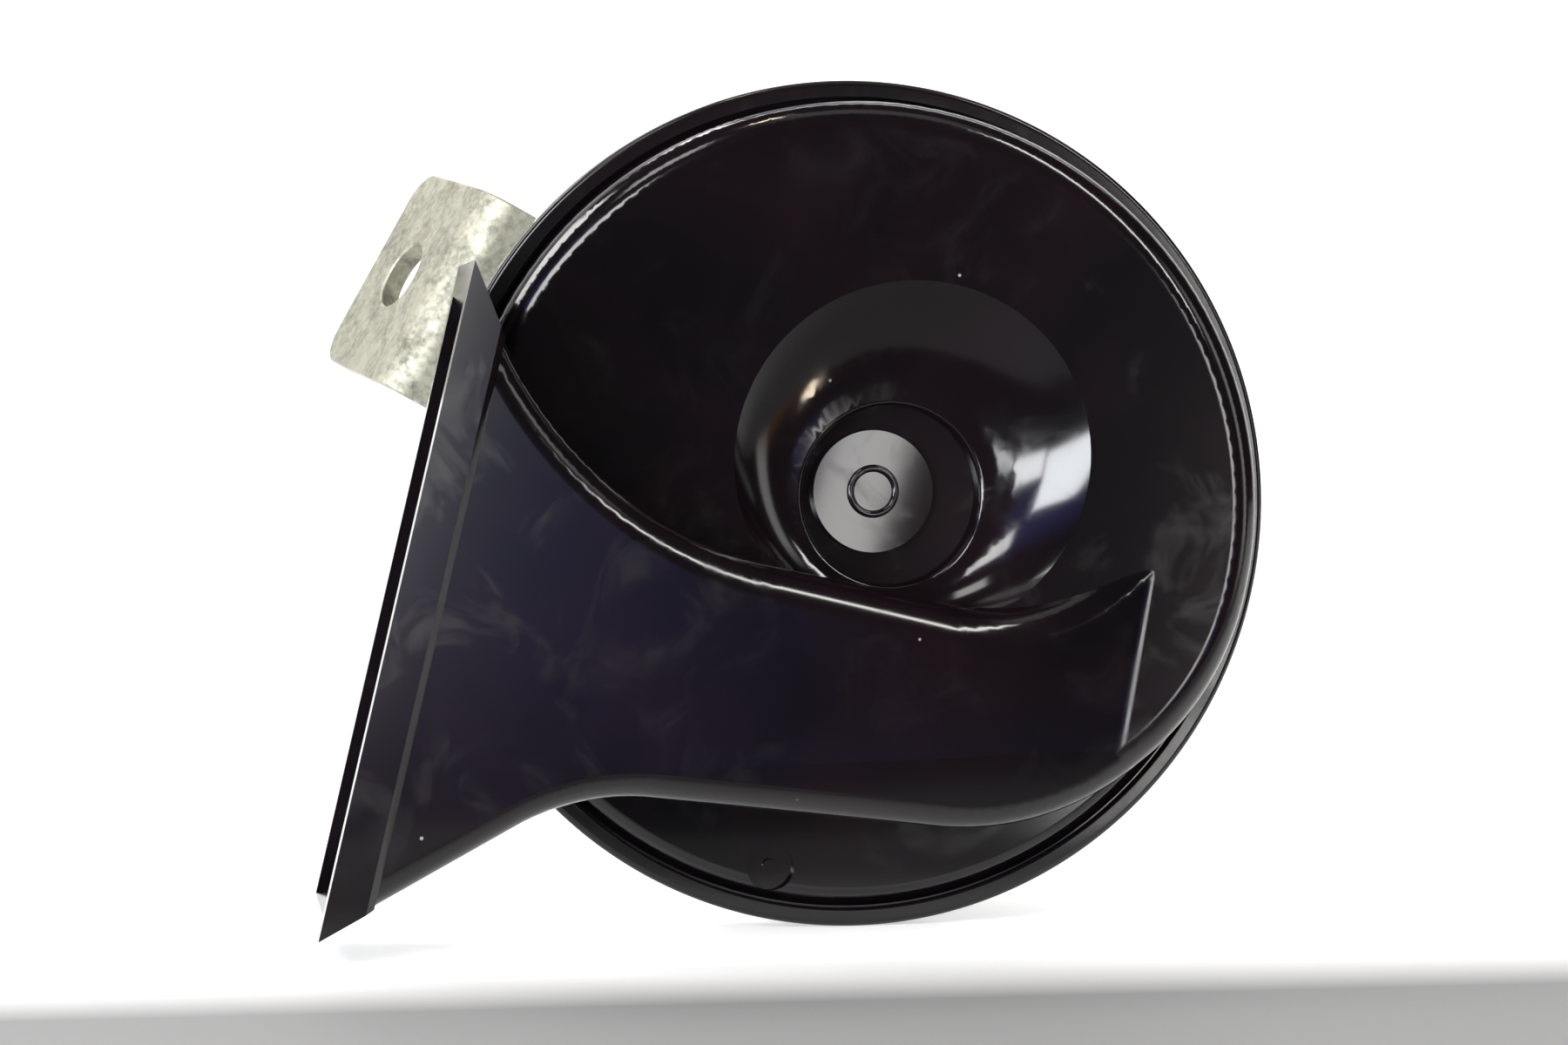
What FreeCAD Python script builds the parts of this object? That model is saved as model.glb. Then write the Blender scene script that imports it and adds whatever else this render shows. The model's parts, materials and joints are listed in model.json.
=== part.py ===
"""Electromagnetic car horn with a snail-shaped sound duct, as a parametric document.

Every sub-part is modelled about the horn axis: x to the right and y up as seen from the front,
z forward along the axis, z = 0 on the seat of the pot's flange. The duct is drawn in its own
turned frame, in which the sound leaves along -x. Each sub-part's Placement then stands the horn
up, front towards -Y and +Z up, with the centre of the bracket's fixing hole at the origin.
"""

import FreeCAD, Part

import math
import os

import Sketcher

# Sizes in millimetres and degrees: name, value, meaning. Those with a formula follow others.
SIZES = [
    ("sheet", 0.9, "steel sheet of the pot"),
    ("rim_radius", 48.0, "outside of the rolled rim"),
    ("rim_lip", 2.0, "width of the lip rolled over the base"),
    ("cup_radius", 35.0, "outside of the pot where it leaves the flange"),
    ("cup_end_radius", 33.0, "outside of the pot beside its bottom"),
    ("cup_depth", 22.0, "from the flange seat to the outside of the bottom"),
    ("cup_bend", 3.0, "outside bend of the pot's bottom edge"),
    ("rim_gap", 0.3, "gap between the base edge and the rim"),
    ("rim_round", 0.72, "rounding of the rolled lip"),
    ("gasket_width", 9.0, "width of a clamping gasket"),
    ("gasket", 0.5, "thickness of a gasket"),
    ("diaphragm", 0.5, "thickness of the diaphragm"),
    ("clamp_setback", 2.0, "gaskets and diaphragm inside the rim"),
    ("clamp_radius", "=rim_radius - clamp_setback", "outside of the gaskets and the diaphragm"),
    ("base_edge", 1.7, "thickness of the base under the lip"),
    ("base_top", 5.0, "height of the base's open face"),
    ("shoulder_setback", 4.0, "edge of the open face inside the rim"),
    ("base_shoulder", "=rim_radius - shoulder_setback", "radius where the open face turns down"),
    ("base_round", 1.5, "rounding of that turn"),
    ("chamber", 1.1, "depth of the chamber over the diaphragm"),
    ("rivet_pocket_radius", 8.0, "pocket over the armature's riveted end"),
    ("rivet_pocket_top", 3.4, "height of that pocket"),
    ("wall", 2.0, "wall of the duct"),
    ("seam", 8.6, "height of the seam between the two shells"),
    ("mouth_lean", 13.1, "lean of the mouth from upright"),
    ("snail_setback", 2.6, "snail inside the rim"),
    ("snail_radius", "=rim_radius - snail_setback", "outside of the snail around the ring"),
    ("sweep_radius", 33.0, "bend of the snail into the lower edge"),
    ("lower_reach", 34.36, "axis to the straight of the lower edge"),
    ("lower_angle", 5.4, "slope of the lower edge"),
    ("flare_radius", 25.0, "bend into the flare"),
    ("flare_reach", 11.5, "axis to the line of the flare"),
    ("flare_angle", 40.7, "slope of the flare"),
    ("mouth_reach", 49.5, "axis to the plane of the mouth"),
    ("inner_reach", 8.6, "axis to the straight of the upper edge"),
    ("upper_flare_start", 8.9, "where the upper edge bends to the mouth, left of the axis"),
    ("upper_flare_angle", 55.0, "slope of the upper edge at the mouth"),
    ("upper_straight", 3.74, "straight run of the upper edge at the mouth"),
    ("upper_flare_radius", "=(mouth_reach - upper_flare_start - upper_straight)"
     " / sin(upper_flare_angle * 1 deg)", "bend of the upper edge into the mouth"),
    ("inner_turn_radius", 22.5, "bend of the upper edge around the bowl"),
    ("turn_setback", 34.4, "start of that bend inside the snail"),
    ("inner_turn_start", "=snail_radius - turn_setback", "start of that bend, right of the axis"),
    ("duct_start", 9.8, "height in plan at which the raised duct starts"),
    ("ring_top", 11.5, "height of the ring face over the axis"),
    ("ring_tilt", 2.0, "rise of the ring face to the right"),
    ("ring_start_angle", 172.0, "angle at which the ring starts under the duct"),
    ("ring_end", 15.0, "how far the ring's block runs under the duct"),
    ("ring_floor", 4.4, "floor of the duct in the ring"),
    ("mouth_top", 28.0, "height of the duct's top at the mouth"),
    ("crest_reach", 34.0, "where the duct's top meets the ring face"),
    ("mouth_floor", 7.6, "floor of the duct in the mouth"),
    ("mouth_floor_start", 30.0, "where the floor has risen, left of the axis"),
    ("mouth_back", 5.6, "outside of the duct's back beyond the base"),
    ("outer_round", 3.0, "rounding of the duct's outer shoulder"),
    ("ring_round", 3.4, "rounding of the ring's outer shoulder"),
    ("inner_round", 4.0, "rounding of the upper edge"),
    ("collar_width", 4.3, "width of the band around the mouth"),
    ("collar_rise", 0.8, "how far that band stands proud of the top"),
    ("bowl_x", 3.4, "centre of the bowl"),
    ("bowl_y", 7.4, "centre of the bowl"),
    ("bowl_radius", 21.6, "edge of the bowl in the ring face"),
    ("bowl_rim", 13.0, "height at which that radius is set"),
    ("bowl_mid_radius", 16.6, "radius of the bowl halfway down"),
    ("bowl_mid", 9.0, "height of that radius"),
    ("hub_x", 3.6, "centre of the hub hole"),
    ("hub_y", 2.0, "centre of the hub hole"),
    ("hub_radius", 10.2, "radius of the hub hole"),
    ("hub_rim", 6.8, "height of the hub hole's rim"),
    ("hub_round", 0.6, "rounding of that rim"),
    ("boss_radius", 7.0, "disc in the floor of the hub"),
    ("boss_rise", 0.7, "height of that disc"),
    ("boss_x", 1.6, "centre of that disc"),
    ("throat_radius", 5.0, "hole from the chamber into the duct"),
    ("throat_x", 28.0, "centre of that hole, left of the axis"),
    ("throat_y", 8.0, "centre of that hole"),
    ("gate_radius", 2.7, "sunk gate in the base's open face"),
    ("gate_setback", 6.0, "sunk gate inside the rim"),
    ("gate_reach", "=rim_radius - gate_setback", "axis to the sunk gate"),
    ("gate_depth", 1.1, "depth of the sunk gate"),
    ("gate_stub_radius", 0.8, "stub of the gate"),
    ("gate_stub", 0.5, "height of that stub"),
    ("air_gap", 0.8, "armature to core"),
    ("armature_radius", 14.0, "armature plate"),
    ("armature_plate", 5.0, "thickness of the armature plate"),
    ("armature_neck", 7.5, "shoulder of the armature behind the diaphragm"),
    ("armature_neck_rise", 1.0, "height of that shoulder"),
    ("armature_shank", 4.0, "shank through the diaphragm"),
    ("armature_head", 5.6, "riveted end of the shank"),
    ("armature_head_rise", 1.0, "height of the riveted end"),
    ("armature_head_round", 0.6, "rounding of the riveted end"),
    ("armature_washer", 7.2, "washer under the riveted end"),
    ("washer_sheet", 0.6, "thickness of that washer"),
    ("core_radius", 9.0, "pole of the magnet core"),
    ("core_neck", 6.0, "neck of the core in the pot's bottom"),
    ("stud_radius", 4.0, "stud of the core"),
    ("stud_length", 15.0, "stud from the pot's back to its end"),
    ("stud_chamfer", 0.8, "chamfer of the stud's end"),
    ("bobbin_gap", 0.1, "bobbin over the core"),
    ("bobbin_tube", 1.4, "wall of the bobbin's tube"),
    ("bobbin_flange", 1.1, "thickness of a bobbin flange"),
    ("bobbin_radius", 20.0, "radius of the bobbin's flanges"),
    ("bobbin_setback", 12.0, "bobbin shorter than the cup is deep"),
    ("bobbin_length", "=cup_depth - bobbin_setback", "length of the bobbin"),
    ("winding_radius", 18.6, "outside of the winding"),
    ("breaker_angle", 35.0, "where the contact breaker sits"),
    ("breaker_inner", 20.6, "inner end of the breaker block"),
    ("breaker_outer", 29.2, "outer end of the breaker block"),
    ("breaker_width", 12.0, "width of the breaker block"),
    ("arm_narrowing", 1.0, "arms narrower than the block"),
    ("arm_rise", 0.8, "fixed arm over the bobbin's top"),
    ("arm_inner", 13.6, "inner end of the fixed arm"),
    ("fixed_arm", 0.8, "thickness of the fixed arm"),
    ("spring_inner", 10.0, "inner end of the contact spring"),
    ("spring", 0.4, "thickness of the contact spring"),
    ("contact_radius", 2.2, "contact points"),
    ("contact_reach", 16.5, "axis to the contact points"),
    ("contact", 0.6, "thickness of a contact point"),
    ("clamp_strip", 1.0, "insulating strip over the contact spring"),
    ("button_radius", 1.6, "push button on the contact spring"),
    ("button_reach", 11.9, "axis to the push button"),
    ("button_gap", 0.3, "button to the armature"),
    ("rivet_radius", 1.2, "rivets of the breaker"),
    ("rivet_head", 2.0, "head of those rivets"),
    ("rivet_head_rise", 0.8, "height of those heads"),
    ("rivet_reach", 27.0, "axis to the breaker rivets"),
    ("rivet_spread", 4.0, "breaker rivets from the centre line"),
    ("rivet_clearance", 0.5, "clear space round the rivets in the arms"),
    ("screw_radius", 2.0, "adjusting screw"),
    ("screw_reach", 23.4, "axis to the adjusting screw"),
    ("screw_head", 3.2, "head of the adjusting screw"),
    ("screw_head_rise", 1.8, "height of that head"),
    ("screw_slot", 0.9, "slot in that head"),
    ("screw_slot_depth", 1.0, "depth of that slot"),
    ("terminal_angle", -62.0, "where the terminals sit"),
    ("terminal_reach", 24.4, "axis to the terminals"),
    ("terminal_pitch", 9.0, "between the two blades"),
    ("blade_width", 6.3, "width of a blade"),
    ("blade", 0.8, "thickness of a blade"),
    ("blade_out", 13.0, "blade from the pot's back to its tip"),
    ("blade_in", 3.0, "blade inside the pot"),
    ("blade_hole", 0.85, "hole in the blade"),
    ("blade_tip", 1.2, "chamfer of the blade's tip"),
    ("block_length", 26.0, "length of the terminal block"),
    ("block_width", 8.4, "width of the terminal block"),
    ("block_rise", 3.6, "terminal block behind the pot"),
    ("block_corner", 3.0, "rounding of the block's corners"),
    ("block_neck_length", 17.0, "block's neck in the pot"),
    ("block_neck_width", 5.0, "width of that neck"),
    ("block_neck_rise", 1.8, "depth of that neck"),
    ("ear_rivet_radius", 1.25, "rivets of the terminal block"),
    ("ear_rivet_head", 2.1, "head of those rivets"),
    ("ear_rivet_head_rise", 0.9, "height of those heads"),
    ("ear_rivet_spread", 10.8, "those rivets from the middle of the block"),
    ("bracket_angle", 151.0, "direction of the bracket"),
    ("bracket_sheet", 2.5, "thickness of the bracket"),
    ("bracket_width", 26.0, "width of the bracket"),
    ("bracket_reach", 51.7, "axis to the bend"),
    ("bracket_bend", 2.5, "inside radius of the bend"),
    ("bracket_turn", 73.0, "turn of the bracket's leg"),
    ("leg_length", 24.0, "length of the leg"),
    ("leg_hole", 13.0, "bend to the fixing hole"),
    ("fixing_hole", 4.25, "radius of the fixing hole"),
    ("stud_clearance", 0.1, "bracket and washer over the stud"),
    ("leg_corner", 4.0, "rounding of the leg's corners"),
    ("end_flat", 0.05, "half of the flat left on the bracket's round end"),
    ("lock_washer_radius", 7.4, "outside of the lock washer"),
    ("lock_washer", 1.8, "thickness of the lock washer"),
    ("lock_washer_split", 1.6, "gap of the lock washer"),
    ("lock_washer_turn", 200.0, "where that gap points"),
    ("nut_flats", 13.0, "across the flats of the nut"),
    ("nut", 6.5, "height of the nut"),
    ("nut_chamfer", 30.0, "chamfer of the nut's corners"),
    ("nut_face", 0.2, "nut's round face inside its flats"),
    ("nut_turn", 12.0, "turn of the nut"),
]

SHEET_NAME = "Sizes"

# How far a form runs that crosses the whole horn, and how near is taken as the same place.
REACH = 80.0
CLOSE = 0.01
NEAR = 0.1


class Size:
    """A length with its value and the spreadsheet expression that gives it."""

    def __init__(self, value, text):
        self.value = float(value)
        self.text = text

    def _join(self, other, sign, value):
        return Size(value, "(" + self.text + " " + sign + " " + as_size(other).text + ")")

    def __add__(self, other):
        return self._join(other, "+", self.value + as_size(other).value)

    def __sub__(self, other):
        return self._join(other, "-", self.value - as_size(other).value)

    def __mul__(self, other):
        return self._join(other, "*", self.value * as_size(other).value)

    def __truediv__(self, other):
        return self._join(other, "/", self.value / as_size(other).value)

    def __neg__(self):
        return Size(-self.value, "(-" + self.text + ")")

    def tangent(self):
        return Size(math.tan(math.radians(self.value)), "tan(" + self.text + " * 1 deg)")

    def sine(self):
        return Size(math.sin(math.radians(self.value)), "sin(" + self.text + " * 1 deg)")

    def cosine(self):
        return Size(math.cos(math.radians(self.value)), "cos(" + self.text + " * 1 deg)")


def as_size(value):
    """A plain number as a Size."""
    if isinstance(value, Size):
        return value
    return Size(value, "(" + repr(float(value)) + ")")


# Lengths of cutting forms: a tall block, and two distances past the face that is cut.
NOTHING = Size(0.0, "0")
TALL = Size(40.0, "40")
OVER = Size(3.0, "3")
PAST = Size(1.0, "1")


class SizeSheet:
    """The spreadsheet's cells as attributes."""

    def __init__(self, sheet, rows):
        for index, (name, value, meaning) in enumerate(rows, start=1):
            sheet.set("A" + str(index), name)
            sheet.set("B" + str(index), str(value))
            sheet.set("C" + str(index), meaning)
            sheet.setAlias("B" + str(index), name)
        sheet.recompute()
        for name, value, meaning in rows:
            setattr(self, name, Size(sheet.get(name), SHEET_NAME + "." + name))


doc = FreeCAD.newDocument("CarHorn")
size_table = doc.addObject("Spreadsheet::Sheet", SHEET_NAME)
s = SizeSheet(size_table, SIZES)
doc.recompute()

vector = FreeCAD.Vector
sub_parts = []


# Frames

def mount_centre():
    """Centre of the fixing hole in the leg, about the horn axis."""
    turn = s.bracket_turn
    half = s.bracket_sheet / 2.0
    out = s.bracket_reach + turn.cosine() * s.leg_hole - turn.sine() * half
    back = -s.cup_depth - turn.sine() * s.leg_hole - turn.cosine() * half
    return out * s.bracket_angle.cosine(), out * s.bracket_angle.sine(), back


def finish(thing, label, turn_degrees=0.0, x=NOTHING, y=NOTHING):
    """Name a sub-part, turn it about the horn axis and stand the horn up on its mount."""
    mount_x, mount_y, mount_z = mount_centre()
    upright = FreeCAD.Rotation(vector(1, 0, 0), 90)
    about_axis = FreeCAD.Rotation(vector(0, 0, 1), turn_degrees)
    place = {"x": x - mount_x, "y": mount_z, "z": y - mount_y}
    base = vector(place["x"].value, place["y"].value, place["z"].value)
    thing.Placement = FreeCAD.Placement(base, upright.multiply(about_axis))
    for axis, value in place.items():
        thing.setExpression("Placement.Base." + axis, value.text)
    thing.Label = label
    sub_parts.append(thing)
    return thing


# Sketches

def bind(sketch, constraint, value):
    """Add a dimension to a sketch, bound to its expression."""
    index = sketch.addConstraint(constraint)
    sketch.setExpression("Constraints[" + str(index) + "]", value.text)


def place_point(sketch, geometry, position, x, y):
    """Dimension one point from the sketch's origin."""
    x, y = as_size(x), as_size(y)
    if x.value == 0.0:
        sketch.addConstraint(Sketcher.Constraint("PointOnObject", geometry, position, -2))
    else:
        bind(sketch, Sketcher.Constraint("DistanceX", -1, 1, geometry, position, x.value), x)
    if y.value == 0.0:
        sketch.addConstraint(Sketcher.Constraint("PointOnObject", geometry, position, -1))
    else:
        bind(sketch, Sketcher.Constraint("DistanceY", -1, 1, geometry, position, y.value), y)


def polygon(sketch, points):
    """A closed outline of straight lines with every corner dimensioned."""
    corners = [vector(as_size(x).value, as_size(y).value, 0) for x, y in points]
    count = len(corners)
    lines = []
    for index in range(count):
        line = Part.LineSegment(corners[index], corners[(index + 1) % count])
        lines.append(sketch.addGeometry(line, False))
    for index in range(count):
        after = lines[(index + 1) % count]
        sketch.addConstraint(Sketcher.Constraint("Coincident", lines[index], 2, after, 1))
    for index, (x, y) in enumerate(points):
        place_point(sketch, lines[index], 1, x, y)
    return sketch


def rectangle(sketch, left, right, bottom, top):
    """A rectangle between four sizes."""
    return polygon(sketch, [(left, bottom), (right, bottom), (right, top), (left, top)])


def circle(sketch, x, y, radius):
    """A circle with its centre and radius dimensioned."""
    x, y, radius = as_size(x), as_size(y), as_size(radius)
    round_line = Part.Circle(vector(x.value, y.value, 0), vector(0, 0, 1), radius.value)
    index = sketch.addGeometry(round_line, False)
    place_point(sketch, index, 3, x, y)
    bind(sketch, Sketcher.Constraint("Radius", index, radius.value), radius)
    return sketch


# Bodies

def new_body(name):
    return doc.addObject("PartDesign::Body", name)


def origin_plane(body, role):
    for item in body.Origin.OriginFeatures:
        if item.Role == role:
            return item
    raise ValueError("no plane " + role)


def body_sketch(body, role, height=None):
    """A sketch on one of the body's origin planes, raised along its normal."""
    sketch = body.newObject("Sketcher::SketchObject", body.Name + "_sketch")
    sketch.AttachmentSupport = [(origin_plane(body, role), "")]
    sketch.MapMode = "FlatFace"
    if height is not None:
        sketch.AttachmentOffset = FreeCAD.Placement(vector(0, 0, height.value), FreeCAD.Rotation())
        sketch.setExpression("AttachmentOffset.Base.z", height.text)
    return sketch


def revolve(body, sketch, kind="PartDesign::Revolution"):
    """Turn a profile in the XZ plane about the horn axis."""
    feature = body.newObject(kind, body.Name + "_turned")
    feature.Profile = sketch
    feature.ReferenceAxis = (sketch, ["V_Axis"])
    feature.Angle = 360.0
    doc.recompute()
    return feature


def pad(body, sketch, length, back=False, midplane=False):
    feature = body.newObject("PartDesign::Pad", body.Name + "_pad")
    feature.Profile = sketch
    feature.Length = length.value
    feature.setExpression("Length", length.text)
    feature.Reversed = back
    if midplane:
        feature.SideType = "Symmetric"
    doc.recompute()
    return feature


def pocket(body, sketch, length=None, back=False, midplane=False):
    """Cut a profile away, and make sure that it cut something."""
    before = body.Shape.Volume
    feature = body.newObject("PartDesign::Pocket", body.Name + "_pocket")
    feature.Profile = sketch
    if length is None:
        feature.Type = "ThroughAll"
    else:
        feature.Length = length.value
        feature.setExpression("Length", length.text)
    feature.Reversed = back
    if midplane:
        feature.SideType = "Symmetric"
    doc.recompute()
    if not body.Shape.Volume < before:
        raise RuntimeError(body.Name + ": a pocket cut nothing")
    return feature


def edge_names(shape, wanted):
    """Names of the edges that a test picks."""
    return ["Edge" + str(i) for i, edge in enumerate(shape.Edges, start=1) if wanted(edge)]


def round_edges(body, radius, wanted, kind="PartDesign::Fillet"):
    """Round or chamfer the edges of a body that a test picks."""
    names = edge_names(body.Shape, wanted)
    if not names:
        raise RuntimeError(body.Name + ": no edge to round")
    base = body.Tip
    feature = body.newObject(kind, body.Name + "_edge")
    feature.Base = (base, names)
    if kind == "PartDesign::Fillet":
        feature.Radius = radius.value
        feature.setExpression("Radius", radius.text)
    else:
        feature.Size = radius.value
        feature.setExpression("Size", radius.text)
    doc.recompute()
    if body.Shape.isNull() or not body.Shape.isValid() or "Up-to-date" not in feature.State:
        raise RuntimeError(body.Name + ": rounding failed")
    return feature


def circle_at(radius, height):
    """A test for a full circle about the horn axis."""
    def wanted(edge):
        if not isinstance(edge.Curve, Part.Circle):
            return False
        same_radius = abs(edge.Curve.Radius - radius.value) < CLOSE
        return same_radius and abs(edge.Curve.Center.z - height.value) < CLOSE
    return wanted


def turned(name, profile):
    """A body turned from one profile of radius and height pairs."""
    body = new_body(name)
    sketch = polygon(body_sketch(body, "XZ_Plane"), profile)
    revolve(body, sketch)
    return body


def ring_profile(inner, outer, bottom, top):
    """The profile of a flat ring."""
    return [(inner, bottom), (outer, bottom), (outer, top), (inner, top)]


# Free sketches and solids for the duct, which is made from crossed outlines

def free_sketch(name, height=None, side=False):
    """A sketch level in plan at a height, or standing on the duct's centre plane."""
    sketch = doc.addObject("Sketcher::SketchObject", name)
    if side:
        sketch.Placement = FreeCAD.Placement(vector(), FreeCAD.Rotation(vector(1, 0, 0), 90))
    elif height is not None:
        sketch.Placement = FreeCAD.Placement(vector(0, 0, height.value), FreeCAD.Rotation())
        sketch.setExpression("Placement.Base.z", height.text)
    return sketch


def extrude(name, sketch, length):
    """A plan outline carried up."""
    solid = doc.addObject("Part::Extrusion", name)
    solid.Base = sketch
    solid.DirMode = "Custom"
    solid.Dir = vector(0, 0, 1)
    solid.LengthFwd = length.value
    solid.setExpression("LengthFwd", length.text)
    solid.Solid = True
    return solid


def extrude_across(name, sketch):
    """A side outline carried right across the horn."""
    solid = doc.addObject("Part::Extrusion", name)
    solid.Base = sketch
    solid.DirMode = "Custom"
    solid.Dir = vector(0, 1, 0)
    solid.LengthFwd = REACH
    solid.LengthRev = REACH
    solid.Solid = True
    return solid


def combine(kind, name, first, second):
    """A boolean of two solids."""
    solid = doc.addObject(kind, name)
    solid.Base = first
    solid.Tool = second
    doc.recompute()
    if solid.Shape.isNull() or not solid.Shape.isValid():
        raise RuntimeError(name + ": a boolean failed")
    return solid


def fuse(name, *things):
    """Join solids into one and merge the faces that line up."""
    solid = doc.addObject("Part::MultiFuse", name)
    solid.Shapes = list(things)
    doc.recompute()
    if solid.Shape.isNull() or not solid.Shape.isValid():
        raise RuntimeError(name + ": a union failed")
    return solid


def cylinder(name, radius, bottom, top, x=0.0, y=0.0):
    """An upright cylinder between two heights."""
    x, y = as_size(x), as_size(y)
    height = top - bottom
    solid = doc.addObject("Part::Cylinder", name)
    for prop, value in (("Radius", radius), ("Height", height)):
        setattr(solid, prop, value.value)
        solid.setExpression(prop, value.text)
    solid.Placement = FreeCAD.Placement(vector(x.value, y.value, bottom.value), FreeCAD.Rotation())
    solid.setExpression("Placement.Base.x", x.text)
    solid.setExpression("Placement.Base.y", y.text)
    solid.setExpression("Placement.Base.z", as_size(bottom).text)
    return solid


def fillet(name, base, rounds):
    """Round edges of a solid: a list of tests, each with its radius."""
    doc.recompute()
    edges = []
    for wanted, radius in rounds:
        for index, edge in enumerate(base.Shape.Edges, start=1):
            if wanted(edge):
                edges.append((index, radius.value, radius.value))
    solid = doc.addObject("Part::Fillet", name)
    solid.Base = base
    solid.Edges = edges
    doc.recompute()
    if solid.Shape.isNull() or not solid.Shape.isValid():
        raise RuntimeError(name + ": rounding failed")
    return solid


# The duct's plan

def tangent(sketch, first, first_end, second, second_end):
    sketch.addConstraint(Sketcher.Constraint("Tangent", first, first_end, second, second_end))


def arc(sketch, centre, radius, start, end):
    """An arc of a circle, anticlockwise between two angles in radians."""
    round_line = Part.Circle(vector(centre[0], centre[1], 0), vector(0, 0, 1), radius)
    return sketch.addGeometry(Part.ArcOfCircle(round_line, start, end), False)


def straight(sketch, start, end):
    line = Part.LineSegment(vector(start[0], start[1], 0), vector(end[0], end[1], 0))
    return sketch.addGeometry(line, False)


def lower_edge(inset):
    """Centres and tangent points of the bends along the snail's lower edge."""
    snail = s.snail_radius.value - inset
    sweep = s.sweep_radius.value - inset
    reach = s.lower_reach.value - inset
    slope = math.radians(s.lower_angle.value)
    up = (-math.sin(slope), math.cos(slope))
    along = (math.cos(slope), math.sin(slope))
    across = sweep - reach
    run = math.sqrt((snail - sweep) ** 2 - across ** 2)
    centre = (across * up[0] + run * along[0], across * up[1] + run * along[1])
    return {
        "snail": snail, "sweep": sweep, "reach": reach, "slope": slope, "up": up,
        "centre": centre, "bearing": math.atan2(centre[1], centre[0]),
        "foot": (centre[0] - sweep * up[0], centre[1] - sweep * up[1]),
    }


def sweep_arcs(sketch, edge, end_angle, inset):
    """The ring's arc and the sweep below it, tangent to each other."""
    ring = arc(sketch, (0.0, 0.0), edge["snail"], edge["bearing"], end_angle)
    sketch.addConstraint(Sketcher.Constraint("Coincident", ring, 3, -1, 1))
    bind(sketch, Sketcher.Constraint("Radius", ring, edge["snail"]), s.snail_radius - inset)
    start = edge["slope"] - math.pi / 2.0
    sweep = arc(sketch, edge["centre"], edge["sweep"], start, edge["bearing"])
    bind(sketch, Sketcher.Constraint("Radius", sweep, edge["sweep"]), s.sweep_radius - inset)
    tangent(sketch, sweep, 2, ring, 1)
    return ring, sweep


def lower_line(sketch, edge, sweep, start, inset):
    """The straight of the lower edge, from a start point to the sweep."""
    line = straight(sketch, start, edge["foot"])
    tangent(sketch, line, 2, sweep, 1)
    bind(sketch, Sketcher.Constraint("Angle", line, edge["slope"]), s.lower_angle * as_degree())
    reach = s.lower_reach - inset
    bind(sketch, Sketcher.Constraint("Distance", -1, 1, line, edge["reach"]), reach)
    return line


def as_degree():
    """One degree, to give a plain number its unit."""
    return Size(1.0, "1 deg")


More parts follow.
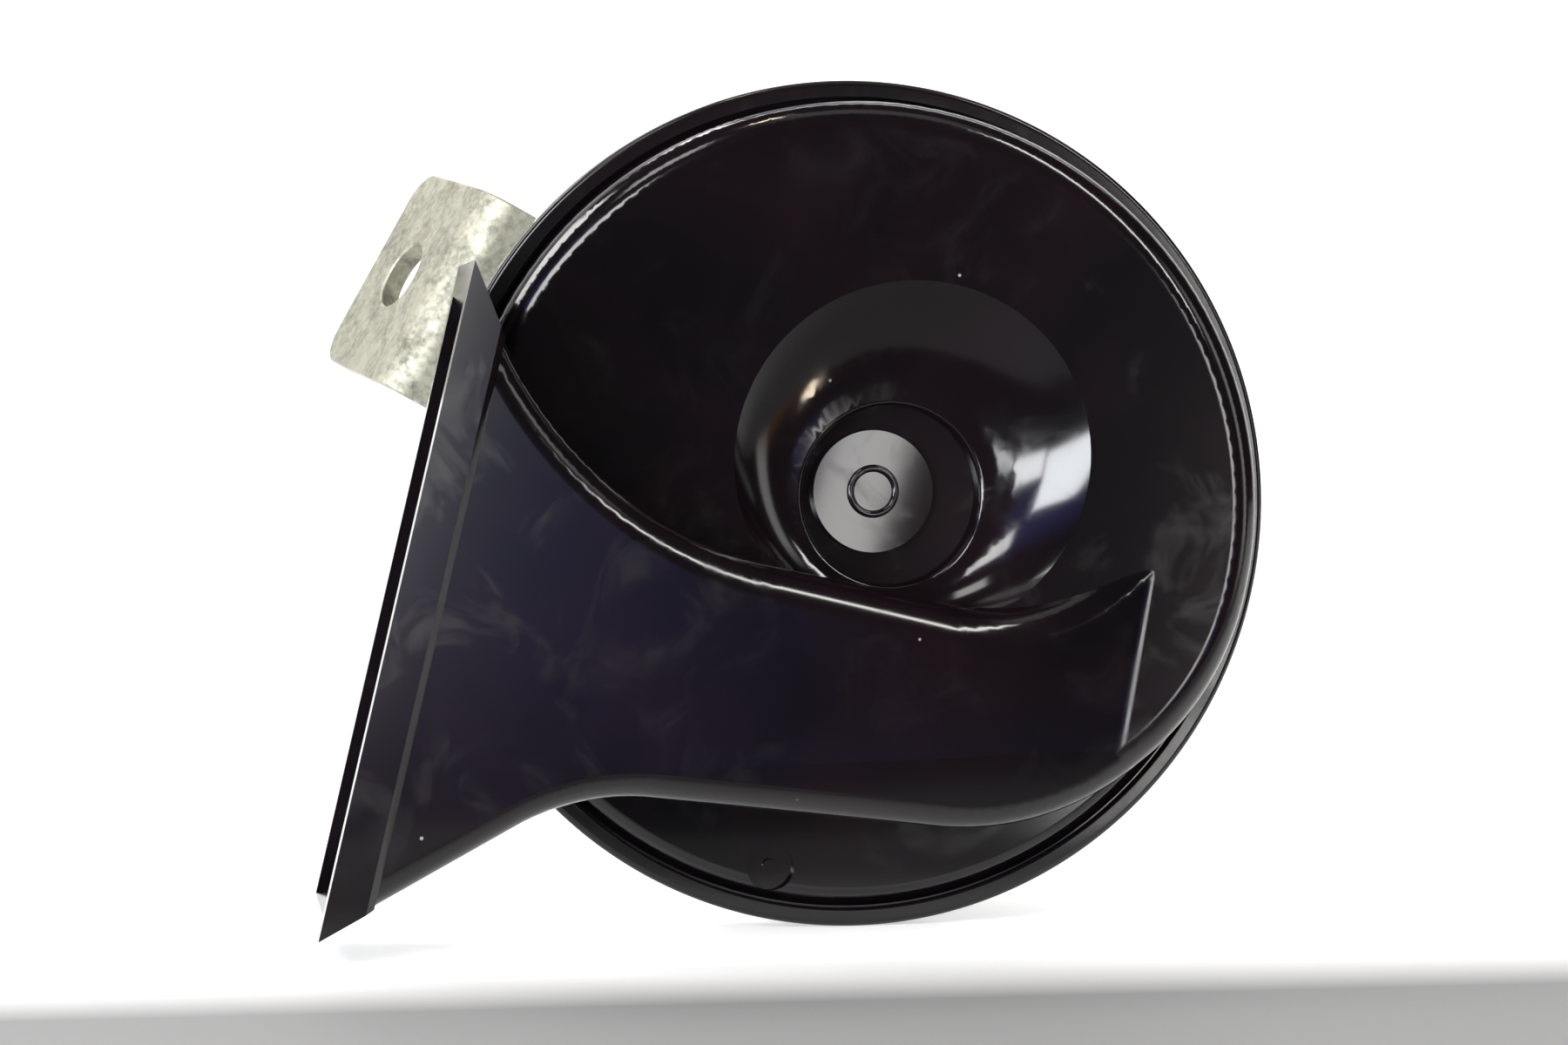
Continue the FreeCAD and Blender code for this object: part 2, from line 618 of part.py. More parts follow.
def duct_outline(name, inset, beyond, height):
    """The raised duct in plan, drawn inside its wall by an inset and open beyond the mouth."""
    sketch = free_sketch(name, height)
    edge = lower_edge(inset.value)
    flare = s.flare_radius.value + inset.value
    flare_slope = math.radians(s.flare_angle.value)
    flare_reach = s.flare_reach.value - inset.value
    flare_up = (-math.sin(flare_slope), math.cos(flare_slope))
    up = edge["up"]
    first, second = -edge["reach"] - flare, -flare_reach - flare
    spread = up[0] * flare_up[1] - up[1] * flare_up[0]
    centre = ((first * flare_up[1] - second * up[1]) / spread,
              (up[0] * second - flare_up[0] * first) / spread)
    mouth_x = -(s.mouth_reach.value + beyond.value)
    mouth_low = (mouth_x, (math.sin(flare_slope) * mouth_x - flare_reach) / math.cos(flare_slope))
    upper = s.upper_flare_radius.value + inset.value
    upper_centre = (-s.upper_flare_start.value, s.upper_flare_radius.value - s.inner_reach.value)
    upper_turn = math.radians(s.upper_flare_angle.value)
    upper_end = (upper_centre[0] - upper * math.sin(upper_turn),
                 upper_centre[1] - upper * math.cos(upper_turn))
    mouth_high = (mouth_x, upper_end[1] + (upper_end[0] - mouth_x) * math.tan(upper_turn))
    turn = s.inner_turn_radius.value + inset.value
    turn_centre = (s.inner_turn_start.value, s.inner_turn_radius.value - s.inner_reach.value)
    inner_y = -s.inner_reach.value - inset.value
    start_y = s.duct_start.value
    turn_end = math.asin((start_y - turn_centre[1]) / turn)

    ring, sweep = sweep_arcs(sketch, edge, math.asin(start_y / edge["snail"]), inset)
    flare_start = (centre[0] + flare * up[0], centre[1] + flare * up[1])
    flare_end = (centre[0] + flare * flare_up[0], centre[1] + flare * flare_up[1])
    low = lower_line(sketch, edge, sweep, flare_start, inset)
    quarter = math.pi / 2.0
    flare_arc = arc(sketch, centre, flare, quarter + edge["slope"], quarter + flare_slope)
    tangent(sketch, flare_arc, 1, low, 1)
    bind(sketch, Sketcher.Constraint("Radius", flare_arc, flare), s.flare_radius + inset)
    flare_line = straight(sketch, mouth_low, flare_end)
    tangent(sketch, flare_line, 2, flare_arc, 2)
    angle = Sketcher.Constraint("Angle", flare_line, flare_slope)
    bind(sketch, angle, s.flare_angle * as_degree())
    away = Sketcher.Constraint("Distance", -1, 1, flare_line, flare_reach)
    bind(sketch, away, s.flare_reach - inset)
    mouth = straight(sketch, mouth_high, mouth_low)
    sketch.addConstraint(Sketcher.Constraint("Vertical", mouth))
    sketch.addConstraint(Sketcher.Constraint("Coincident", mouth, 2, flare_line, 1))
    place = Sketcher.Constraint("DistanceX", -1, 1, mouth, 1, mouth_x)
    bind(sketch, place, -(s.mouth_reach + beyond))
    bottom = 1.5 * math.pi
    upper_arc = arc(sketch, upper_centre, upper, bottom - upper_turn, bottom)
    upper_line = straight(sketch, upper_end, mouth_high)
    tangent(sketch, upper_line, 1, upper_arc, 1)
    slope = Sketcher.Constraint("Angle", upper_line, math.pi - upper_turn)
    bind(sketch, slope, (as_size(180.0) - s.upper_flare_angle) * as_degree())
    sketch.addConstraint(Sketcher.Constraint("Coincident", upper_line, 2, mouth, 1))
    bind(sketch, Sketcher.Constraint("Radius", upper_arc, upper), s.upper_flare_radius + inset)
    start = Sketcher.Constraint("DistanceX", -1, 1, upper_arc, 3, upper_centre[0])
    bind(sketch, start, -s.upper_flare_start)
    inner = straight(sketch, (upper_centre[0], inner_y), (turn_centre[0], inner_y))
    tangent(sketch, inner, 1, upper_arc, 2)
    sketch.addConstraint(Sketcher.Constraint("Horizontal", inner))
    level = Sketcher.Constraint("DistanceY", -1, 1, inner, 1, inner_y)
    bind(sketch, level, -(s.inner_reach + inset))
    turn_arc = arc(sketch, turn_centre, turn, bottom, 2 * math.pi + turn_end)
    tangent(sketch, turn_arc, 1, inner, 2)
    bind(sketch, Sketcher.Constraint("Radius", turn_arc, turn), s.inner_turn_radius + inset)
    turn_start = Sketcher.Constraint("DistanceX", -1, 1, turn_arc, 3, turn_centre[0])
    bind(sketch, turn_start, s.inner_turn_start)
    turn_tip = (turn_centre[0] + turn * math.cos(turn_end), start_y)
    ring_tip = (math.sqrt(edge["snail"] ** 2 - start_y ** 2), start_y)
    close = straight(sketch, turn_tip, ring_tip)
    sketch.addConstraint(Sketcher.Constraint("Horizontal", close))
    sketch.addConstraint(Sketcher.Constraint("Coincident", close, 1, turn_arc, 2))
    sketch.addConstraint(Sketcher.Constraint("Coincident", close, 2, ring, 2))
    across = Sketcher.Constraint("DistanceY", -1, 1, close, 1, start_y)
    bind(sketch, across, s.duct_start)
    return sketch


def ring_outline(name, inset, height):
    """The ring of the snail in plan, closed across the duct that covers its end."""
    sketch = free_sketch(name, height)
    edge = lower_edge(inset.value)
    ring, sweep = sweep_arcs(sketch, edge, math.radians(s.ring_start_angle.value), inset)
    end_x = -s.ring_end.value
    end_y = (math.sin(edge["slope"]) * end_x - edge["reach"]) / math.cos(edge["slope"])
    low = lower_line(sketch, edge, sweep, (end_x, end_y), inset)
    bind(sketch, Sketcher.Constraint("DistanceX", -1, 1, low, 1, end_x), -s.ring_end)
    bearing = math.radians(s.ring_start_angle.value)
    tip = (edge["snail"] * math.cos(bearing), edge["snail"] * math.sin(bearing))
    close = straight(sketch, tip, (end_x, end_y))
    sketch.addConstraint(Sketcher.Constraint("Coincident", close, 1, ring, 2))
    sketch.addConstraint(Sketcher.Constraint("Coincident", close, 2, low, 1))
    side = (s.snail_radius - inset) * s.ring_start_angle.cosine()
    bind(sketch, Sketcher.Constraint("DistanceX", -1, 1, close, 1, tip[0]), side)
    return sketch


def ring_height(x, drop):
    """Height of the tilted ring face at a place along the duct's x."""
    return s.ring_top + x * s.ring_tilt.tangent() - drop


def duct_height(x, drop):
    """Height of the duct's sloping top at a place along the duct's x."""
    crest = ring_height(s.crest_reach, as_size(0.0))
    slope = (s.mouth_top - crest) / (s.crest_reach + s.mouth_reach)
    return s.mouth_top - (x + s.mouth_reach) * slope - drop


def side_block(name, bottom, height_at, drop, left, right):
    """Everything under a sloping line in the side view."""
    sketch = free_sketch(name + "_side", side=True)
    polygon(sketch, [(left, bottom), (right, bottom), (right, height_at(right, drop)),
                     (left, height_at(left, drop))])
    return extrude_across(name, sketch)


def on_duct_top(edge):
    """A test for the edges of the duct's sloping top."""
    for vertex in edge.Vertexes:
        wanted = duct_height(as_size(vertex.Point.x), NOTHING).value
        if abs(vertex.Point.z - wanted) > CLOSE:
            return False
    return True


def middle(edge):
    return edge.valueAt((edge.FirstParameter + edge.LastParameter) / 2.0)


def on_outer_side(edge):
    """The duct top's edges along the snail, the sweep, the lower edge and the flare."""
    point = middle(edge)
    below = point.y < -(s.inner_reach + s.inner_round).value
    around = math.hypot(point.x, point.y) > s.snail_radius.value - NEAR and point.x > 0.0
    away = point.x > -s.mouth_reach.value + NEAR
    return on_duct_top(edge) and away and (below or around)


def on_inner_side(edge):
    """The duct top's edges along the bowl and up to the mouth."""
    point = middle(edge)
    away = point.x > -s.mouth_reach.value + NEAR
    level = abs(point.y - s.duct_start.value) > CLOSE
    return on_duct_top(edge) and away and level and not on_outer_side(edge)


def passage():
    """The hollow of the duct: the ring's flat passage and the growing duct after it."""
    w = s.wall
    deep = extrude("duct_core_plan", duct_outline("duct_core_outline", w, OVER, s.ring_floor), TALL)
    side = free_sketch("duct_core_side", side=True)
    left, right = -(s.mouth_reach + OVER), s.snail_radius
    start = -s.mouth_floor_start
    polygon(side, [(left, s.mouth_floor), (start, s.mouth_floor), (s.crest_reach, s.ring_floor),
                   (right, s.ring_floor), (right, duct_height(right, w)),
                   (left, duct_height(left, w))])
    duct = combine("Part::Common", "duct_core", deep, extrude_across("duct_core_block", side))
    flat = extrude("ring_core_plan", ring_outline("ring_core_outline", w, s.ring_floor), TALL)
    under = side_block("ring_core_block", s.ring_floor, ring_height, w, left, right)
    ring = combine("Part::Common", "ring_core_full", flat, under)
    eye = cylinder("ring_core_eye", s.bowl_radius + w, NOTHING, TALL, s.bowl_x, s.bowl_y)
    ring = combine("Part::Cut", "ring_core_open", ring, eye)
    cover = extrude("duct_cover_plan", duct_outline("duct_cover_outline", NOTHING, OVER, NOTHING), TALL)
    left_side = free_sketch("duct_cover_side", side=True)
    rectangle(left_side, left - OVER, 0.0, -OVER, TALL)
    cover = combine("Part::Common", "duct_cover", cover, extrude_across("duct_cover_block", left_side))
    ring = combine("Part::Cut", "ring_core", ring, cover)
    return duct, ring


def ring_edge(edge):
    """A test for the ring face's edge along the snail and the sweep."""
    for vertex in edge.Vertexes:
        level = ring_height(as_size(vertex.Point.x), NOTHING).value
        if abs(vertex.Point.z - level) > CLOSE:
            return False
    point = middle(edge)
    along_sweep = point.y < 0.0 and point.x > -s.ring_end.value
    around = math.hypot(point.x, point.y) > s.snail_radius.value - NEAR
    return along_sweep or around


def snail_blocks():
    """The outer forms of the snail: tilted ring, rising duct and the band around the mouth."""
    left, right = -(s.mouth_reach + OVER), s.snail_radius + OVER
    foot = s.gasket * 2.0 + s.diaphragm + s.base_edge
    ring = extrude("ring_plan", ring_outline("ring_outline", NOTHING, foot), TALL)
    block = side_block("ring_block", foot, ring_height, NOTHING, left, right)
    ring = combine("Part::Common", "ring_sharp", ring, block)
    ring = fillet("ring_rounded", ring, [(ring_edge, s.ring_round)])
    duct = extrude("duct_plan", duct_outline("duct_outline", NOTHING, NOTHING, foot), TALL)
    block = side_block("duct_block", foot, duct_height, NOTHING, left, right)
    duct = combine("Part::Common", "duct_sharp", duct, block)
    duct = fillet("duct_rounded", duct,
                  [(on_outer_side, s.outer_round), (on_inner_side, s.inner_round)])
    rise = s.collar_rise
    band = extrude("band_plan", duct_outline("band_outline", NOTHING, NOTHING, foot), TALL)
    side = free_sketch("band_side", side=True)
    inner = -(s.mouth_reach - s.collar_width)
    floor = s.mouth_back
    polygon(side, [(-s.mouth_reach, floor), (inner + rise, floor),
                   (inner + rise, duct_height(inner + rise, NOTHING)),
                   (inner, duct_height(inner, -rise)),
                   (-s.mouth_reach, duct_height(-s.mouth_reach, -rise))])
    band = combine("Part::Common", "band", band, extrude_across("band_block", side))
    return ring, duct, band


def bowl_middle():
    """Centre of the bowl halfway down, between its edge's centre and the hub's."""
    return (s.bowl_x + s.hub_x) / 2.0, (s.bowl_y + s.hub_y) / 2.0


def hub_edge(edge):
    """A test for the rim of the hub hole."""
    point = middle(edge)
    away = math.hypot(point.x - s.hub_x.value, point.y - s.hub_y.value)
    return abs(point.z - s.hub_rim.value) < CLOSE and abs(away - s.hub_radius.value) < CLOSE


def bowl_void():
    """The dished bowl, from its round edge in the ring face down to the hub hole."""
    mid_x, mid_y = bowl_middle()
    spread = (s.bowl_radius - s.bowl_mid_radius) / (s.bowl_rim - s.bowl_mid)
    levels = [
        (s.bowl_x * 2.0 - mid_x, s.bowl_y * 2.0 - mid_y, s.bowl_radius + OVER * spread,
         s.bowl_rim + OVER),
        (s.bowl_x, s.bowl_y, s.bowl_radius, s.bowl_rim),
        (mid_x, mid_y, s.bowl_mid_radius, s.bowl_mid),
        (s.hub_x, s.hub_y, s.hub_radius, s.hub_rim),
    ]
    sections = []
    for index, (x, y, radius, height) in enumerate(levels):
        sections.append(circle(free_sketch("bowl_section_" + str(index), height), x, y, radius))
    bowl = doc.addObject("Part::Loft", "bowl_void")
    bowl.Sections = sections
    bowl.Solid = True
    bowl.Ruled = False
    return bowl


def bowl_cup(name, bottom, top):
    """The round cup under the bowl, which the base takes in a well."""
    x, y = bowl_middle()
    return cylinder(name, s.bowl_mid_radius + s.wall, bottom, top, x, y)


def trumpet_front_shell(blocks, above, cores):
    """The moulded front of the snail: ring face, bowl with hub hole and rising duct."""
    ring, duct, band = blocks
    ring = combine("Part::Common", "front_ring", ring, above)
    plug = bowl_cup("hub_plug", s.base_top, s.seam)
    ring = fuse("front_ring_plug", ring, plug)
    ring = combine("Part::Cut", "front_ring_bowl", ring, bowl_void())
    hub = cylinder("hub_void", s.hub_radius, s.base_top - PAST, s.hub_rim + PAST, s.hub_x, s.hub_y)
    ring = combine("Part::Cut", "front_ring_hub", ring, hub)
    ring = fillet("front_ring_rounded", ring, [(hub_edge, s.hub_round)])
    duct = combine("Part::Common", "front_duct", duct, above)
    band = combine("Part::Common", "front_band", band, above)
    shell = fuse("front_solid", ring, duct, band)
    shell = combine("Part::Cut", "front_hollow", shell, cores[0])
    return combine("Part::Cut", "trumpet_front_shell", shell, cores[1])


def base_disc():
    """The clamping disc of the rear shell, turned in profile."""
    seat = s.gasket * 2.0 + s.diaphragm
    edge_radius = s.rim_radius - s.sheet - s.rim_gap
    open_radius = s.clamp_radius - s.gasket_width
    lip_radius = s.rim_radius - s.rim_lip
    edge_top = seat + s.base_edge
    disc = new_body("base_disc")
    polygon_sketch = polygon(body_sketch(disc, "XZ_Plane"), [
        (0.0, s.rivet_pocket_top), (s.rivet_pocket_radius, s.rivet_pocket_top),
        (s.rivet_pocket_radius, seat + s.chamber), (open_radius, seat + s.chamber),
        (open_radius, seat), (edge_radius, seat), (edge_radius, edge_top),
        (lip_radius - s.rim_gap, edge_top), (s.base_shoulder, s.base_top), (0.0, s.base_top),
    ])
    revolve(disc, polygon_sketch)
    round_edges(disc, s.base_round, circle_at(s.base_shoulder, s.base_top))
    return disc


def trumpet_rear_shell(blocks, below, cores):
    """The moulded base: clamping disc, plinth of the snail, duct floor and throat."""
    ring, duct, band = blocks
    plinth = combine("Part::Common", "rear_plinth", ring, below)
    floor = combine("Part::Common", "rear_floor", duct, below)
    groove = cylinder("rim_clearance", s.mouth_reach + REACH, NOTHING, s.mouth_back)
    kept = cylinder("rim_kept", s.snail_radius, -PAST, s.mouth_back + PAST)
    groove = combine("Part::Cut", "rim_groove", groove, kept)
    floor = combine("Part::Cut", "rear_floor_raised", floor, groove)
    band = combine("Part::Common", "rear_band", band, below)
    snail = fuse("rear_snail", plinth, floor, band)
    boss = cylinder("hub_boss", s.boss_radius, s.base_top - PAST, s.base_top + s.boss_rise,
                    s.boss_x, s.hub_y)
    well = bowl_cup("hub_well", s.base_top, s.seam + PAST)
    shell = combine("Part::Fuse", "rear_disc_snail", base_disc(), snail)
    shell = combine("Part::Cut", "rear_open", shell, well)
    shell = fuse("rear_solid", shell, boss)
    shell = combine("Part::Cut", "rear_with_duct", shell, cores[0])
    shell = combine("Part::Cut", "rear_with_ring", shell, cores[1])
    throat = cylinder("throat", s.throat_radius, NOTHING, s.seam, -s.throat_x, s.throat_y)
    shell = combine("Part::Cut", "rear_with_throat", shell, throat)
    gate_floor = s.base_top - s.gate_depth
    gate = cylinder("gate_void", s.gate_radius, gate_floor, s.base_top + PAST, 0.0, -s.gate_reach)
    stub = cylinder("gate_stub", s.gate_stub_radius, gate_floor - PAST, gate_floor + s.gate_stub,
                    0.0, -s.gate_reach)
    gate = combine("Part::Cut", "gate", gate, stub)
    return combine("Part::Cut", "trumpet_rear_shell", shell, gate)


def housing_pot():
    """Drawn steel pot: rolled rim, flange, tapering cup and pierced bottom."""
    seat = s.gasket * 2.0 + s.diaphragm
    lip_under = seat + s.base_edge
    rim, sheet = s.rim_radius, s.sheet
    pot = turned("housing_pot", [
        (s.core_neck, -s.cup_depth), (s.cup_end_radius, -s.cup_depth), (s.cup_radius, -sheet),
        (rim, -sheet), (rim, lip_under + sheet), (rim - s.rim_lip, lip_under + sheet),
        (rim - s.rim_lip, lip_under), (rim - sheet, lip_under), (rim - sheet, 0.0),
        (s.cup_radius - sheet, 0.0), (s.cup_end_radius - sheet, -(s.cup_depth - sheet)),
        (s.core_neck, -(s.cup_depth - sheet)),
    ])
    round_edges(pot, s.cup_bend, circle_at(s.cup_end_radius, -s.cup_depth))
    round_edges(pot, s.cup_bend - sheet,
                circle_at(s.cup_end_radius - sheet, -(s.cup_depth - sheet)))
    round_edges(pot, s.rim_round, circle_at(rim, lip_under + sheet))
    round_edges(pot, sheet, circle_at(rim, -sheet))
    back = -s.cup_depth
    screw = body_sketch(pot, "XY_Plane", back)
    circle(screw, s.screw_reach * s.breaker_angle.cosine(), s.screw_reach * s.breaker_angle.sine(),
           s.screw_radius)
    for side in (-1.0, 1.0):
        x, y = breaker_place(s.rivet_reach, s.rivet_spread * side)
        circle(screw, x, y, s.rivet_radius)
        x, y = terminal_place(s.ear_rivet_spread * side)
        circle(screw, x, y, s.ear_rivet_radius)
    pocket(pot, screw, s.sheet, back=True)
    neck = body_sketch(pot, "XY_Plane", back)
    half_length, half_width = s.block_neck_length / 2.0, s.block_neck_width / 2.0
    corners = [(-half_length, -half_width), (half_length, -half_width),
               (half_length, half_width), (-half_length, half_width)]
    polygon(neck, [terminal_place(along, across) for along, across in corners])
    pocket(pot, neck, s.sheet, back=True)
    return finish(pot, "housing_pot")


def breaker_place(reach, aside=None):
    """A place given along and beside the breaker's centre line."""
    x = reach * s.breaker_angle.cosine()
    y = reach * s.breaker_angle.sine()
    if aside is None:
        return x, y
    return x - aside * s.breaker_angle.sine(), y + aside * s.breaker_angle.cosine()


def terminal_place(along, across=None):
    """A place given along the terminal block, which lies across its radius."""
    reach = s.terminal_reach if across is None else s.terminal_reach + across
    x = reach * s.terminal_angle.cosine() - along * s.terminal_angle.sine()
    y = reach * s.terminal_angle.sine() + along * s.terminal_angle.cosine()
    return x, y


def clamped_rings():
    """The diaphragm between its two gaskets."""
    inner, outer = s.clamp_radius - s.gasket_width, s.clamp_radius
    finish(turned("rear_gasket", ring_profile(inner, outer, NOTHING, s.gasket)), "rear_gasket")
    top = s.gasket + s.diaphragm
    finish(turned("diaphragm", ring_profile(s.armature_shank, outer, s.gasket, top)), "diaphragm")
    finish(turned("front_gasket", ring_profile(inner, outer, top, top + s.gasket)), "front_gasket")


def armature():
    """Turned armature riveted through the diaphragm, and its washer."""
    face = s.gasket
    shoulder = face - s.armature_neck_rise
    under = shoulder - s.armature_plate
    washer_foot = face + s.diaphragm
    washer_top = washer_foot + s.washer_sheet
    head_top = washer_top + s.armature_head_rise
    body = turned("armature", [
        (0.0, under), (s.armature_radius, under), (s.armature_radius, shoulder),
        (s.armature_neck, shoulder), (s.armature_neck, face), (s.armature_shank, face),
        (s.armature_shank, washer_top), (s.armature_head, washer_top),
        (s.armature_head, head_top), (0.0, head_top),
    ])
    round_edges(body, s.armature_head_round, circle_at(s.armature_head, head_top))
    finish(body, "armature")
    washer = turned("armature_washer",
                    ring_profile(s.armature_shank, s.armature_washer, washer_foot, washer_top))
    finish(washer, "armature_washer")
    return under


def magnet(armature_under):
    """Core with its stud, bobbin and winding."""
    inside = -(s.cup_depth - s.sheet)
    back = -s.cup_depth
    pole_top = armature_under - s.air_gap
    core = turned("magnet_core", [
        (0.0, back - s.stud_length), (s.stud_radius, back - s.stud_length), (s.stud_radius, back),
        (s.core_neck, back), (s.core_neck, inside), (s.core_radius, inside),
        (s.core_radius, pole_top), (0.0, pole_top),
    ])
    round_edges(core, s.stud_chamfer, circle_at(s.stud_radius, back - s.stud_length),
                "PartDesign::Chamfer")
    finish(core, "magnet_core")
    tube = s.core_radius + s.bobbin_gap
    drum = tube + s.bobbin_tube
    top = inside + s.bobbin_length
    bobbin = turned("coil_bobbin", [
        (tube, inside), (s.bobbin_radius, inside), (s.bobbin_radius, inside + s.bobbin_flange),
        (drum, inside + s.bobbin_flange), (drum, top - s.bobbin_flange),
        (s.bobbin_radius, top - s.bobbin_flange), (s.bobbin_radius, top), (tube, top),
    ])
    finish(bobbin, "coil_bobbin")
    winding = turned("coil_winding", ring_profile(drum, s.winding_radius, inside + s.bobbin_flange,
                                                  top - s.bobbin_flange))
    finish(winding, "coil_winding")


def arm(name, label, inner, outer, width, bottom, thickness, holes):
    """A flat piece of the breaker along its centre line, with round holes."""
    body = new_body(name)
    sketch = rectangle(body_sketch(body, "XY_Plane", bottom), inner, outer, -(width / 2.0),
                       width / 2.0)
    pad(body, sketch, thickness)
    if holes:
        drilled = body_sketch(body, "XY_Plane", bottom)
        for x, y, radius in holes:
            circle(drilled, x, y, radius)
        pocket(body, drilled, thickness, back=True)
    return finish(body, label, s.breaker_angle.value)


def stepped_pin(name, label, places, turn, steps):
    """Like pins with steps of radius and height, as separate solids of one node."""
    pins = []
    for index, (x, y) in enumerate(places):
        parts = []
        for step, (radius, bottom, top) in enumerate(steps):
            parts.append(cylinder(name + "_" + str(index) + "_" + str(step), radius, bottom, top, x, y))
        pins.append(fuse(name + "_" + str(index), *parts) if len(parts) > 1 else parts[0])
    group = doc.addObject("Part::Compound", name)
    group.Links = pins
    return finish(group, label, turn)


def contact_breaker(armature_under):
    """Block, fixed arm, spring and points, with the button that the armature pushes."""
    inside = -(s.cup_depth - s.sheet)
    top = inside + s.bobbin_length
    arm_foot = top + s.arm_rise
    arm_top = arm_foot + s.fixed_arm
    gap = s.contact * 2.0
    spring_foot = arm_top + gap
    spring_top = spring_foot + s.spring
    clamp_top = spring_top + s.clamp_strip
    rivets = [(s.rivet_reach, s.rivet_spread * side) for side in (-1.0, 1.0)]
    tight = [(x, y, s.rivet_radius) for x, y in rivets]
    loose = [(x, y, s.rivet_radius + s.rivet_clearance) for x, y in rivets]
    screw_hole = (s.screw_reach, 0.0, s.screw_radius)
    arm("breaker_block", "breaker_block", s.breaker_inner, s.breaker_outer, s.breaker_width,
        inside, arm_foot - inside, tight + [screw_hole])
    wide = s.breaker_width - s.arm_narrowing
    arm("fixed_contact_arm", "fixed_contact_arm", s.arm_inner, s.breaker_outer, wide,
        arm_foot, s.fixed_arm, loose)
    arm("breaker_insulator", "breaker_insulator", s.breaker_inner, s.breaker_outer, s.breaker_width,
        arm_top, gap, tight)
    arm("contact_spring", "contact_spring", s.spring_inner, s.breaker_outer, wide,
        spring_foot, s.spring, loose)
    arm("breaker_clamp_strip", "breaker_clamp_strip", s.breaker_inner, s.breaker_outer,
        s.breaker_width, spring_top, s.clamp_strip, tight)
    places = [(s.contact_reach, 0.0)]
    angle = s.breaker_angle.value
    stepped_pin("fixed_contact_point", "fixed_contact_point", places, angle,
                [(s.contact_radius, arm_top, arm_top + s.contact)])
    stepped_pin("moving_contact_point", "moving_contact_point", places, angle,
                [(s.contact_radius, arm_top + s.contact, spring_foot)])
    stepped_pin("push_button", "push_button", [(s.button_reach, 0.0)], angle,
                [(s.button_radius, spring_top, armature_under - s.button_gap)])
    back = -s.cup_depth
    stepped_pin("breaker_rivets", "breaker_rivets", rivets, angle,
                [(s.rivet_head, back - s.rivet_head_rise, back), (s.rivet_radius, back, clamp_top),
                 (s.rivet_head, clamp_top, clamp_top + s.rivet_head_rise)])
    screw = new_body("adjusting_screw")
    sketch = polygon(body_sketch(screw, "XZ_Plane"), [
        (0.0, back - s.screw_head_rise), (s.screw_head, back - s.screw_head_rise),
        (s.screw_head, back), (s.screw_radius, back), (s.screw_radius, arm_foot), (0.0, arm_foot),
    ])
    revolve(screw, sketch)
    slot = body_sketch(screw, "XY_Plane", back - s.screw_head_rise)
    half = s.screw_slot / 2.0
    rectangle(slot, -(s.screw_head + PAST), s.screw_head + PAST, -half, half)
    pocket(screw, slot, s.screw_slot_depth, back=True)
    finish(screw, "adjusting_screw", angle, *breaker_place(s.screw_reach))


def terminals():
    """Two blades in an insulating block, riveted to the pot's back."""
    back = -s.cup_depth
    turn = s.terminal_angle.value
    block = new_body("terminal_block")
    half_width = s.block_width / 2.0
    sketch = body_sketch(block, "XY_Plane", back - s.block_rise)
    half_length = s.block_length / 2.0
    rectangle(sketch, s.terminal_reach - half_width, s.terminal_reach + half_width, -half_length,
              half_length)
    pad(block, sketch, s.block_rise)

    def upright_corner(edge):
        return abs(edge.Vertexes[0].Point.z - edge.Vertexes[-1].Point.z) > s.block_rise.value / 2.0

    round_edges(block, s.block_corner, upright_corner)
    neck = body_sketch(block, "XY_Plane", back)
    half_neck = s.block_neck_width / 2.0
    rectangle(neck, s.terminal_reach - half_neck, s.terminal_reach + half_neck,
              -(s.block_neck_length / 2.0), s.block_neck_length / 2.0)
    pad(block, neck, s.block_neck_rise)
    slots = body_sketch(block, "XY_Plane", back - s.block_rise)
    for side in (-1.0, 1.0):
        middle_y = s.terminal_pitch / 2.0 * side
        rectangle(slots, s.terminal_reach - s.blade / 2.0, s.terminal_reach + s.blade / 2.0,
                  middle_y - s.blade_width / 2.0, middle_y + s.blade_width / 2.0)
        circle(slots, s.terminal_reach, s.ear_rivet_spread * side, s.ear_rivet_radius)
    pocket(block, slots, s.block_rise + s.block_neck_rise, back=True)
    finish(block, "terminal_block", turn)

    for label, side in (("live_terminal_blade", -1.0), ("earth_terminal_blade", 1.0)):
        blade = new_body(label)
        middle_y = s.terminal_pitch / 2.0 * side
        tip = back - s.blade_out
        half = s.blade_width / 2.0
        sketch = body_sketch(blade, "YZ_Plane", s.terminal_reach)
        polygon(sketch, [
            (middle_y - half + s.blade_tip, tip), (middle_y + half - s.blade_tip, tip),
            (middle_y + half, tip + s.blade_tip), (middle_y + half, back + s.blade_in),
            (middle_y - half, back + s.blade_in), (middle_y - half, tip + s.blade_tip),
        ])
        circle(sketch, middle_y, tip + s.blade_width / 2.0, s.blade_hole)
        pad(blade, sketch, s.blade, midplane=True)
        finish(blade, label, turn)

    places = [(s.terminal_reach, s.ear_rivet_spread * side) for side in (-1.0, 1.0)]
    foot = back - s.block_rise
    inside = back + s.sheet
    stepped_pin("terminal_rivets", "terminal_rivets", places, turn,
                [(s.ear_rivet_head, foot - s.ear_rivet_head_rise, foot),
                 (s.ear_rivet_radius, foot, inside),
                 (s.ear_rivet_head, inside, inside + s.ear_rivet_head_rise)])


